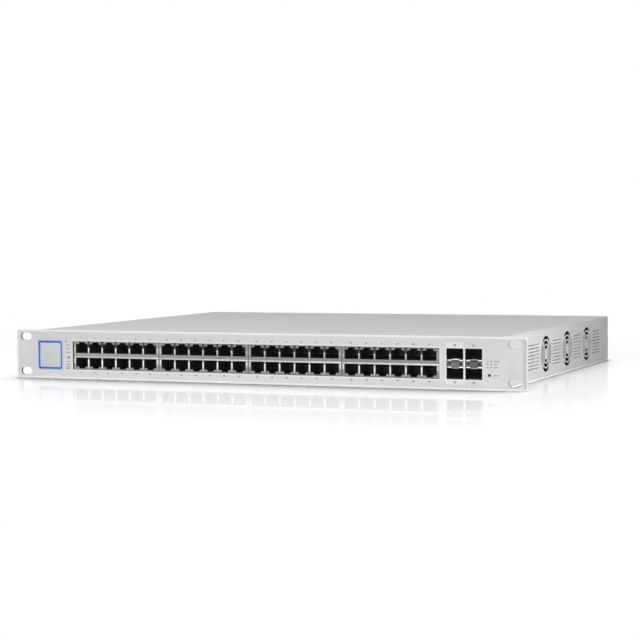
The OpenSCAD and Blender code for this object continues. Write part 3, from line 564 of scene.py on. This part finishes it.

# %% [markdown]
# Paint darkens the shields and springs from the left to the right, a painted reflection of the
# room. The lower springs are painted brighter than the upper ones, as painted light. The tops
# of the bars are painted dark, as painted shade under the panel's lip: they are found by their
# distance from the nearest bar, which repeats with the pitch of the ports.

# %% Shield and spring finishes
shield_paint = rolled_metal("shield_steel", (0.30, 0.30, 0.31), 0.38, ALONG)
x, y, z = shield_paint.where()
to_group = abs(x / MM - group_x[0])
for middle in group_x[1:]:
    to_group = to_group.low(abs(x / MM - middle))
to_bar = abs((to_group + PITCH / 2).wrap(PITCH) - PITCH / 2)
# Painted shade: the tops of the bars under the panel's lip are painted near black.
bar_top_shade = (to_bar < 1.7) * (to_group < 2.5 * PITCH + 1) * (z > port_mid_z + 7.2 * MM)
# Painted reflection: the steel darkens from the left to the right.
painted_reflection = (x / MM).ease(-190, 30)
plain_tone = shield_paint.mix(painted_reflection, (0.41, 0.41, 0.42), SHADED_STEEL)
grained_tone = shield_paint.mix(painted_reflection, shield_paint.tone, SHADED_STEEL)
shield_tone = shield_paint.mix(0.5, plain_tone, grained_tone)
shield_paint.tint(bar_top_shade * 0.85, shield_tone, (0.03, 0.03, 0.03))
dress(shield_paint, *blocks("jack_shield"))

spring_paint = rolled_metal("spring_steel", (0.70, 0.70, 0.71), 0.32, ALONG)
x, y, z = spring_paint.where()
# Painted light: the lower springs are painted brighter than the upper ones, and all darken from
# left to right as a painted reflection.
painted_reflection = (x / MM).ease(-180, 30)
lit_lower_row = spring_paint.mix(painted_reflection, (0.97, 0.97, 0.97), (0.80, 0.80, 0.80))
shaded_upper_row = spring_paint.mix(painted_reflection, (0.70, 0.70, 0.71), (0.36, 0.36, 0.37))
rows = spring_paint.mix(z > port_mid_z, lit_lower_row, shaded_upper_row)
spring_paint.tint(0.25, rows, spring_paint.tone)

# %% [markdown]
# The cage is the same steel without the bright plating. Its side edges are painted dark, as
# painted shade where the bays open, and the seam over its stamped plates is a dark line. Steel
# and plastic deep in an opening still return a trace of light from the room, which a faint
# emission stands for.

# %% Cage, plastic, contact and lamp finishes
PLATE_HALF_W = 3.4


def from_column(x):
    """How far a point lies from the middle of its column of bays, in millimetres."""
    return abs(abs(x / MM - cage_x) - COLUMN)


def on_seam(z):
    """1 in the thin dark seam over the stamped plates."""
    return abs(z - port_mid_z - 2.3 * MM) < 0.35 * MM


cage_paint = rolled_metal("cage_steel", (0.14, 0.14, 0.14), 0.40, INWARD)
x, y, z = cage_paint.where()
# Painted shade: the side edges at the bays are painted near black; the seam is a dark line.
side_edge_shade = from_column(x) > BAY_HALF_W - 0.25
seam = (from_column(x) < PLATE_HALF_W) * on_seam(z)
cage_paint.tint(side_edge_shade.high(seam), cage_paint.tone, (0.02, 0.02, 0.02))
cage_paint.set("Emission Strength", 0.005)
dress(cage_paint, "module_cage")

plastic_paint = Paint("jack_plastic", (0.018, 0.018, 0.019), 0.5, Emission_Strength=0.003)
fine = plastic_paint.noise(3000, detail=2.0)
plastic_paint.tint(fine, (0.012, 0.012, 0.013), (0.026, 0.026, 0.027))
plastic_paint.set("Roughness", 0.42 + fine * 0.18)
plastic_paint.bump(fine, 0.15, 0.02 * MM)
dress(plastic_paint, *blocks("jack_housing"), "module_connectors", "reset_switch_body",
      "reset_plunger")

gold_paint = Paint("contact_gold", (0.15, 0.11, 0.05), 0.30, 1.0)
worn = gold_paint.noise(700, detail=2.0)
gold_paint.tint(worn.ease(0.35, 0.7), (0.17, 0.125, 0.055), (0.11, 0.08, 0.035))
gold_paint.set("Roughness", 0.18 + worn * 0.15)
dress(gold_paint, *blocks("jack_contacts"))

lamp_paint = Paint("port_lamp", (0.30, 0.31, 0.32), 0.25)
milk = lamp_paint.noise(800, detail=1.0)
pale_lamp = lamp_paint.mix(milk, (0.24, 0.245, 0.25), (0.42, 0.425, 0.43))
x, y, z = lamp_paint.where()
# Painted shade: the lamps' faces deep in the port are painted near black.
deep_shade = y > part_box("jack_lamps_1")[0].y + 0.3 * MM
lamp_paint.tint(deep_shade, pale_lamp, (0.015, 0.015, 0.016))
lamp_paint.set("Roughness", 0.2 + milk * 0.12)
dress(lamp_paint, *blocks("jack_lamps"))

# %% [markdown]
# A spring is a soft bump, taller than wide. A sphere is squeezed into a seed shape, and its
# back half is cut away by a bisecting plane. One spring is copied to every bar of a block,
# short ones above the shelf and long ones below it, with flatter ones at the block's ends.
# A narrow folded strip runs along the foot of each shelf.

# %% Ground springs and shelf strips
shield_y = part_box("jack_housing_1")[0].y - 0.3 * MM
SHELF = 4.1


def ground_spring(half_w, rise, half_h):
    spring = add_shape(bpy.ops.mesh.primitive_uv_sphere_add, "spring", segments=16,
                       ring_count=10, radius=MM)
    spring.scale = (half_w, rise, half_h)
    edit_all(settle(spring))
    bpy.ops.mesh.bisect(plane_co=(0, 0, 0), plane_no=(0, 1, 0), clear_outer=True)
    return smooth(done(spring), 60)


def shield_places(across, rows):
    """Places on the shields, for each X and each height over the shelf, in millimetres."""
    return [Vector((x * MM, shield_y, port_mid_z + row * MM)) for x in across for row in rows]


for g, middle in enumerate(group_x, 1):
    bars = [middle + bar * PITCH for bar in range(-2, 3)]
    ends = [middle + s * (3 * PITCH + 0.4) for s in (-1, 1)]
    end_row = SHELF / 2 + 2.9
    for name, half_w, rise, half_h, places in (
            ("upper_springs", 0.87, 0.6, 2.4, shield_places(bars, [4.5])),
            ("lower_springs", 0.87, 0.6, 3.9, shield_places(bars, [-7.4])),
            ("end_springs", 0.7, 0.4, 2.6, shield_places(ends, [-end_row, end_row]))):
        springs = copies(ground_spring(half_w, rise, half_h), f"{name}_{g}", places)
        finish_piece(springs, spring_paint)


def shelf_strip():
    strip = rounded_plate("strip", 87.2, 1.2, 0.2, steps=1)
    return bevel(thicken_forward(strip, 0.25), 0.1, 2, 60)


strips = copies(shelf_strip(), "shelf_strips", shield_places(group_x, [0.7 - SHELF / 2]))
strip_paint = rolled_metal("strip_steel", (0.62, 0.62, 0.63), 0.34, ALONG)
finish_piece(strips, strip_paint)

# %% [markdown]
# ## The module cage
# Two columns of bays stand in one folded cage. Its middle bar carries bright spring fingers
# along both edges, and between them a small stamped plate with cut corners stands proud. The
# dark folds and the seam are lines of under a millimetre, so they are left to the finish: the
# folds, the middles of the fingers and their parts behind the lip are darkened as painted
# shade, and the seam is a dark line.

# %% Cage fingers and stamped plates
columns = [cage_x + s * COLUMN for s in (-1, 1)]
finger_paint = rolled_metal("finger_steel", (0.92, 0.92, 0.92), 0.28, INWARD)
x, y, z = finger_paint.where()
to_column = from_column(x)
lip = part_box("module_cage_fingers")[0].y + 0.45 * MM
left_upper = (z > port_mid_z) * (x < cage_x * MM)
# Painted shade: the raised middle of each row of fingers is darkened, least at the upper left.
raised_shade = (1 - to_column.ease(2.9, 3.1)) * (0.75 - left_upper * 0.65)
finger_tone = finger_paint.mix(raised_shade, finger_paint.tone, (0.10, 0.10, 0.10))
# Painted shade on the folds that turn away, with the seam as a dark line.
fold_shade_and_seam = (abs(z - port_mid_z) > 3.5 * MM) * (to_column > 3.1) * 0.8
fold_shade_and_seam = fold_shade_and_seam.high((to_column < 3.1) * on_seam(z))
finger_tone = finger_paint.mix(fold_shade_and_seam, finger_tone, (0.03, 0.03, 0.03))
# Painted shade: the parts behind the lip are darkened.
finger_paint.tint((y > lip) * 0.8, finger_tone, (0.12, 0.12, 0.12))
fingers = softened("module_cage_fingers", 0.1, segments=2)
finish_piece(fingers, finger_paint)
pipe_paint = Paint("light_pipe", (0.006, 0.006, 0.006), 0.6, Specular_IOR_Level=0.1)
pipe_paint.set("Roughness", 0.5 + pipe_paint.noise(1500) * 0.2)
dress(pipe_paint, "module_cage_lamps")


def stamped_plate():
    plate = rounded_plate("stamped_plate", 7.0, 3.8, 0.45, steps=1)
    thicken_forward(plate, 0.35)
    choose(plate, "faces", lambda centre, normal: normal.y < -0.9)
    bpy.ops.mesh.inset(thickness=0.45 * MM, depth=0)
    bpy.ops.transform.translate(value=(0, 0.12 * MM, 0))
    return bevel(done(plate), 0.08, 2)


plates = copies(stamped_plate(), "cage_plates",
                [Vector((x * MM, face_y + 1.0 * MM, port_mid_z - 0.2 * MM)) for x in columns])
plate_paint = rolled_metal("plate_steel", (0.12, 0.12, 0.12), 0.42, INWARD)
x, y, z = plate_paint.where()
plate_paint.tint(x < cage_x * MM, plate_paint.tone, (0.15, 0.155, 0.12))
finish_piece(plates, plate_paint)

# %% [markdown]
# ## Print on the panel
# The panel is screen printed: plain numbers over and under the ports, and small marks beside
# the status lamps. Ink is a film a few hundredths of a millimetre thick. Each mark is a text
# or a flat shape turned into a mesh, stood up, and laid just proud of the paint.

# %% Printed numbers
ink_paint = Paint("ink", (0.09, 0.09, 0.10), 0.6)
speck = ink_paint.noise(4000, detail=2.0)
ink_paint.tint(speck, (0.06, 0.06, 0.07), (0.13, 0.13, 0.14))
ink_paint.set("Roughness", 0.5 + speck * 0.2)
INK = 0.03
SIZE_PER_HEIGHT = 1.38


def printed_text(words, x, z, size):
    """Words with digits of about one size in height, centred on a place in millimetres."""
    text = add_shape(bpy.ops.object.text_add, "print")
    text.data.body = words
    text.data.size = size * MM * SIZE_PER_HEIGHT
    text.data.align_x, text.data.align_y = "CENTER", "CENTER"
    text.data.extrude = INK * MM / 2
    text.data.resolution_u = 2
    text.data.offset = 0.02 * size * MM
    only(text)
    bpy.ops.object.convert(target="MESH")
    text = upright(bpy.context.object)
    return move(text, x, -INK / 2, z)


port_x = [middle + (column - 2.5) * PITCH for middle in group_x for column in range(6)]
numbers = []
for places, high, low, size in ((port_x, 36.9, 6.0, 1.5), (columns, 36.6, 5.8, 1.9)):
    for x in places:
        for z in (high, low):
            numbers.append(printed_text(str(len(numbers) + 1), x, z, size))
numbers = join(numbers, "printed_numbers")
finish_piece(numbers, ink_paint)

# %% Printed marks
def mark(corners, x, z, width, height, turned=0):
    """A small printed polygon: three corners make a triangle, many make a dot."""
    shape = add_shape(bpy.ops.mesh.primitive_cylinder_add, "mark", vertices=corners, radius=0.5,
                      depth=INK * MM, rotation=(0, 0, math.radians(turned)))
    settle(shape)
    shape.scale = (width * MM, height * MM, 1)
    settle(shape)
    upright(shape)
    return move(shape, x, -INK / 2, z)


DASH_H, DIAGONAL = 0.45, 1.414


def dash(x, z, width):
    """A short stroke: a cylinder with four corners, whose diagonals are its diameter."""
    return mark(4, x, z, width * DIAGONAL, DASH_H * DIAGONAL, 45)


marks = [mark(3, -190.4, 33.6, 2.4, 2.1, 60), mark(3, 209.2, 21.6, 1.7, 1.5, 60),
         mark(20, -187.7, 19.2, 2.1, 2.0), mark(20, -190.2, 9.4, 1.4, 1.3),
         mark(20, -187.6, 9.4, 1.8, 1.4)]
marks += [mark(3, x, z, 1.6, 1.4, turned)
          for x, turned in ((209.2, 60), (212.2, 0)) for z in (23.9, 18.9)]
marks += [mark(3, 212.2, 21.6, 1.6, 1.4, 0)]
marks += [dash(-188.2, z, w) for z, w in ((30.6, 4.2), (27.4, 3.4), (23.8, 4.4), (15.6, 3.0),
                                         (13.0, 4.6), (11.2, 4.2))]
marks += [dash(x, z, w) for x, z, w in ((217.2, 23.9, 4.6), (216.0, 21.6, 2.2),
                                       (216.4, 18.9, 3.0), (216.8, 12.3, 4.4))]
marks = join(marks, "printed_marks")
finish_piece(marks, ink_paint)

# %% [markdown]
# ## Screws, fans and the inside
# What is behind the guards and slots only shows in glimpses, but each part keeps its own
# finish. Screws, posts and the fan bracket are zinc-plated steel. The fans are black plastic
# filled with glass, whose flow shows as faint streaks.

# %% Fixings and fans
zinc_paint = rolled_metal("zinc_steel", (0.72, 0.72, 0.73), 0.34, (700, 700, 700))
dress(zinc_paint, "panel_studs", "panel_nuts", "board_posts", "board_screws", "fan_bracket",
      "fan_screws")

fan_paint = Paint("fan_plastic", (0.012, 0.012, 0.013), 0.5, Specular_IOR_Level=0.2)
flow = fan_paint.noise((900, 300, 300), detail=3.0)
fan_paint.tint(flow, (0.006, 0.006, 0.007), (0.013, 0.013, 0.014))
fan_paint.set("Roughness", 0.36 + flow * 0.2)
fan_paint.bump(flow, 0.1, 0.02 * MM)
dress(fan_paint, *[f"fan_{part}_{k}" for part in ("frame", "rotor") for k in (1, 2, 3)])

# %% [markdown]
# A board's copper tracks show as paler green lines through its lacquer. They are stripes
# along X or Y, bent by a broad noise that also decides where each kind lies. Chips and headers
# are moulded plastic, and heat sinks are extruded, so their lines run along their fins.

# %% Boards, chips and heat sinks
TRACKS_PER_METRE, BEND = 900, 9
board_paint = Paint("circuit_board", (0.02, 0.13, 0.05), 0.3)
x, y, z = board_paint.where()
wander = board_paint.noise(55, detail=1.0)
along_x, along_y = ((axis * TRACKS_PER_METRE + wander * BEND).fraction() > 0.55
                    for axis in (x, y))
tracks = along_x * (wander > 0.5) + along_y * (wander < 0.42)
board_paint.tint(tracks, (0.015, 0.11, 0.045), (0.03, 0.19, 0.075))
board_paint.set("Roughness", 0.26 + board_paint.noise(1200) * 0.14)
dress(board_paint, "main_board", "power_board", "status_led_board")

chip_paint = Paint("chip_plastic", (0.03, 0.03, 0.032), 0.55)
grit = chip_paint.noise(2200, detail=2.0)
chip_paint.tint(grit, (0.02, 0.02, 0.022), (0.045, 0.045, 0.047))
chip_paint.bump(grit, 0.2, 0.03 * MM)
dress(chip_paint, "board_chips")

header_paint = Paint("header_plastic", (0.78, 0.75, 0.66), 0.45)
grain = header_paint.noise(1600, detail=2.0)
header_paint.tint(grain, (0.72, 0.69, 0.60), (0.82, 0.79, 0.70))
dress(header_paint, "board_headers", "power_terminals")

sink_paint = rolled_metal("heatsink_aluminium", (0.62, 0.63, 0.64), 0.42, (1500, 40, 1500), 0.3)
dress(sink_paint, "switch_chip_heatsink", "port_chip_heatsinks", "power_heatsinks")

# %% [markdown]
# The power parts are wound or sleeved: turns of yellow tape on the transformers, copper wire
# on the choke, shrunk sleeves on the capacitors, and a milky film under the board. The inlet's
# pins are brass, and the leads have red sleeves.

# %% Power parts and leads
TURNS_PER_METRE = 260
film_paint = Paint("insulator_film", (0.82, 0.81, 0.74), 0.3)
haze = film_paint.noise(90, detail=2.0)
film_paint.tint(haze, (0.76, 0.75, 0.67), (0.88, 0.87, 0.82))
dress(film_paint, "power_insulator")

tape_paint = Paint("winding_tape", (0.75, 0.56, 0.10), 0.4)
x, y, z = tape_paint.where()
turns = (z * TURNS_PER_METRE).fraction().ease(0.0, 0.15)
tape_paint.tint(turns, (0.42, 0.30, 0.05), (0.78, 0.60, 0.12))
tape_paint.bump(turns, 0.4, 0.1 * MM)
dress(tape_paint, "power_transformers")

sleeve_paint = Paint("capacitor_sleeve", (0.02, 0.03, 0.09), 0.25)
band = sleeve_paint.noise((30, 30, 400), detail=1.0)
sleeve_paint.tint(band, (0.015, 0.02, 0.07), (0.03, 0.045, 0.13))
dress(sleeve_paint, "power_capacitors")

copper_paint = Paint("copper_winding", (0.62, 0.28, 0.12), 0.3, 1.0)
wires = copper_paint.noise((1400, 1400, 60), detail=1.0)
copper_paint.tint(wires.ease(0.4, 0.6), (0.36, 0.14, 0.06), (0.72, 0.36, 0.17))
copper_paint.bump(wires, 0.5, 0.2 * MM)
dress(copper_paint, "power_choke")

brass_paint = rolled_metal("inlet_brass", (0.78, 0.66, 0.38), 0.3, (900, 900, 900))
dress(brass_paint, "inlet_pins", "earth_screw")

lead_paint = Paint("lead_sleeve", (0.25, 0.05, 0.04), 0.4)
scuff = lead_paint.noise(400, detail=2.0)
lead_paint.tint(scuff, (0.20, 0.035, 0.03), (0.34, 0.07, 0.05))
dress(lead_paint, "mains_leads", "dc_leads", "fan_leads")

# %% [markdown]
# ## The rear
# The rear lip is held by pan-head screws with cross recesses. One screw head is modelled: a
# short cylinder whose front edge is domed by a wide bevel, with a cross cut into it by two
# booleans. Copies stand where the frame has its plain heads.

# %% Screw heads
HEAD_R, HEAD_H = 2.75, 1.8
ARM = Vector((2.9, 2.0, 0.62)) * MM


def cross_screw():
    head = add_shape(bpy.ops.mesh.primitive_cylinder_add, "cross_screw", vertices=32,
                     radius=HEAD_R * MM, depth=HEAD_H * MM, rotation=(math.radians(-90), 0, 0))
    settle(head)
    head.location = (0, HEAD_H / 2 * MM, 0)
    settle(head)
    choose(head, "edges", lambda centre, way: centre.y > (HEAD_H - 0.1) * MM and abs(way.y) < 0.5)
    bpy.ops.mesh.bevel(offset=0.75 * MM, segments=4)
    done(head)
    for turned in (0, 90):
        arm = add_shape(bpy.ops.mesh.primitive_cube_add, "arm", size=1,
                        location=(0, HEAD_H * MM, 0))
        arm.scale = ARM
        arm.rotation_euler = (0, math.radians(turned), 0)
        settle(arm)
        modify(head, "BOOLEAN", operation="DIFFERENCE", object=arm, solver="EXACT")
        bpy.data.objects.remove(arm)
    return bevel(head, 0.07, 1, 40)


def screw_row(node, name, seat_y, count):
    """A level row of heads that spans the frame's own plain heads, and stands for them."""
    low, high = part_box(node)
    middle, reach = (low + high) / 2, (high.x - low.x) / 2 - HEAD_R * MM
    spread = [2 * k / (count - 1) - 1 for k in range(count)]
    heads = copies(cross_screw(), name,
                   [Vector((middle.x + s * reach, seat_y, middle.z)) for s in spread])
    finish_piece(heads, zinc_paint)
    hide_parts(node)


screw_row("cover_screws", "cover_screw_heads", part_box("top_cover")[1].y, 5)
screw_row("inlet_screws", "inlet_screw_heads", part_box("power_inlet")[1].y, 2)

inlet = softened("power_inlet", 0.3, segments=2)
finish_piece(inlet, plastic_paint)

# %% [markdown]
# ## The floor
# The unit stands on a pale, polished floor. For the light that it throws back on the case it
# is plain and matt. Where the camera or a reflection sees it, its own light makes it white, and
# what hides the sky from it takes that light away, so the soft shadow under the case stays.
# The sky is looked for along a line that leans back and to the right, so the shadow lies in
# front of the case and to its left. A thin painted shadow line follows the foot of each side.
# Near the case the floor mirrors it, and the mirroring fades as the floor goes away.

# %% Shaders in layers
def seen_rays(network):
    """1 for what the camera, a reflection or glass sees, and 0 for light that only lights."""
    ways = network.tree.nodes.new("ShaderNodeLightPath").outputs
    camera_ray, glossy, through = (Value(network, ways[f"Is {kind} Ray"])
                                   for kind in ("Camera", "Glossy", "Transmission"))
    return camera_ray.high(glossy).high(through)


def shader(network, kind, **inputs):
    """A shader node. Its inputs are given by name."""
    return network.add("ShaderNode" + kind, {}, inputs)


def blend(network, factor, first, second):
    """A shader between two shaders."""
    return network.add("ShaderNodeMixShader", {}, [factor, first, second])


def grey(level):
    return (level, level, level, 1)

# %% Floor
floor = add_shape(bpy.ops.mesh.primitive_plane_add, "floor", size=40)
floor_paint = Paint("floor", (0.8, 0.8, 0.8), 0.9)

# The shadow: the sky seen in full shade, how much more is seen in the open, how far a
# ray looks, and the curve between them.
SKY_SHUT, SKY_SPAN, SKY_REACH, SHADE_CURVE = 0.54, 0.31, 80 * MM, 0.47
# The painted shadow line at a side's foot: its start, where it fades, its end, and half its
# length.
SIDE_SHADOW_STARTS, SIDE_SHADOW_FADES, SIDE_SHADOW_ENDS, SIDE_SHADOW_HALF_L = -0.5 * MM, 1 * MM, 6.5 * MM, 180 * MM
# The polish: beside the case, what is lost far away, and how much faster that goes sideways.
POLISH_NEAR, POLISH_LOST, SIDE_PACE = 0.3, 0.27, 2.4

x, y, z = floor_paint.where()
lean = Vector((0.22, 0.42, 1.0)).normalized()
toward = floor_paint.add("ShaderNodeCombineXYZ", {}, tuple(lean))
open_sky = floor_paint.add("ShaderNodeAmbientOcclusion", {"samples": 16},
                           {"Distance": SKY_REACH, "Normal": toward}, 1)
contact = ((open_sky - SKY_SHUT) / SKY_SPAN).high(0).low(1) ** SHADE_CURVE
past_side = abs(x) - case_side
# Painted shadow: a thin dark line on the floor along the foot of each side.
side_shadow_line = (past_side > SIDE_SHADOW_STARTS) * (1 - past_side.ease(SIDE_SHADOW_FADES, SIDE_SHADOW_ENDS))
side_shadow_line = side_shadow_line * (abs(y) < SIDE_SHADOW_HALF_L)
contact = contact * (1 - side_shadow_line * 0.9)

far = ((x * x + y * y) ** 0.5).ease(0.35, 0.9)
beside, before = past_side.high(0) * SIDE_PACE, (face_y - y).high(0)
away = (beside * beside + before * before) ** 0.5
polish = POLISH_NEAR - away.ease(0.02, 0.38) * POLISH_LOST

matt = shader(floor_paint, "BsdfDiffuse", Color=grey(0.8))
dim = shader(floor_paint, "BsdfDiffuse", Color=grey(0.2))
faint = shader(floor_paint, "BsdfDiffuse", Color=grey(0.25))
glow = shader(floor_paint, "Emission", Strength=0.84)
backdrop = shader(floor_paint, "Emission", Strength=1.0)
mirror = shader(floor_paint, "BsdfAnisotropic", Color=grey(1), Roughness=0.01)
lifted = floor_paint.add("ShaderNodeAddShader", {}, [faint, glow])
ground = blend(floor_paint, far, blend(floor_paint, contact, dim, lifted), backdrop)
polished = blend(floor_paint, polish, ground, mirror)
shown = blend(floor_paint, seen_rays(floor_paint), matt, polished)
floor_paint.link(shown, floor_paint.tree.nodes["Material Output"].inputs["Surface"])
floor.data.materials.append(floor_paint.material)
print("floor at z =", round(floor.location.z, 4))

# %% [markdown]
# ## World and lamps
# The world is white where it is seen, and nearly dark as a light, because the lamps do the
# lighting. Three soft lamps stand above and in front: the highest lights the top, the others
# the panel. Three small ones stand low at the right, the rear and the left. They are lower
# than the top, so they light the sides, and the top mirrors them only from a flat angle.

# %% World and lamps
world = bpy.data.worlds.new("studio")
bpy.context.scene.world = world
world.use_nodes = True
WORLD_LIGHT, WORLD_SEEN = 0.01, 1.0
sky = Network(world.node_tree)
background = sky.tree.nodes["Background"]
background.inputs["Color"].default_value = grey(1)
background.inputs["Strength"].default_value = WORLD_LIGHT
white = shader(sky, "Background", Color=grey(1), Strength=WORLD_SEEN)
shown = blend(sky, seen_rays(sky), Value(sky, background.outputs[0]), white)
sky.link(shown, sky.tree.nodes["World Output"].inputs["Surface"])


def soft_lamp(name, place, target, size, power):
    """A square lamp at a place, turned to face a target."""
    bpy.ops.object.select_all(action="DESELECT")
    bpy.ops.object.light_add(type="AREA", location=place)
    lamp = bpy.context.object
    lamp.name = name
    lamp.data.size = size
    lamp.data.energy = power
    lamp.rotation_euler = (Vector(target) - Vector(place)).to_track_quat("-Z", "Y").to_euler()
    print(name, "lamp,", power, "W")


soft_lamp("overhead", (0.1, -0.6, 1.7), (0.0, -0.05, 0.0), 1.6, 13.5)
soft_lamp("key", (0.0, -0.85, 0.85), (0.0, -0.15, 0.02), 0.9, 5.3)
soft_lamp("fill", (0.0, -0.95, 0.5), (0.0, -0.18, 0.02), 0.5, 1.9)
soft_lamp("flank", (0.54, -0.165, 0.03), (0.22, -0.11, 0.02), 0.05, 0.84)
soft_lamp("rear", (0.18, 0.85, 0.03), (0.0, 0.18, 0.02), 0.05, 3.2)
soft_lamp("left", (-0.80, 0.0, 0.03), (-0.22, 0.0, 0.02), 0.05, 2.4)
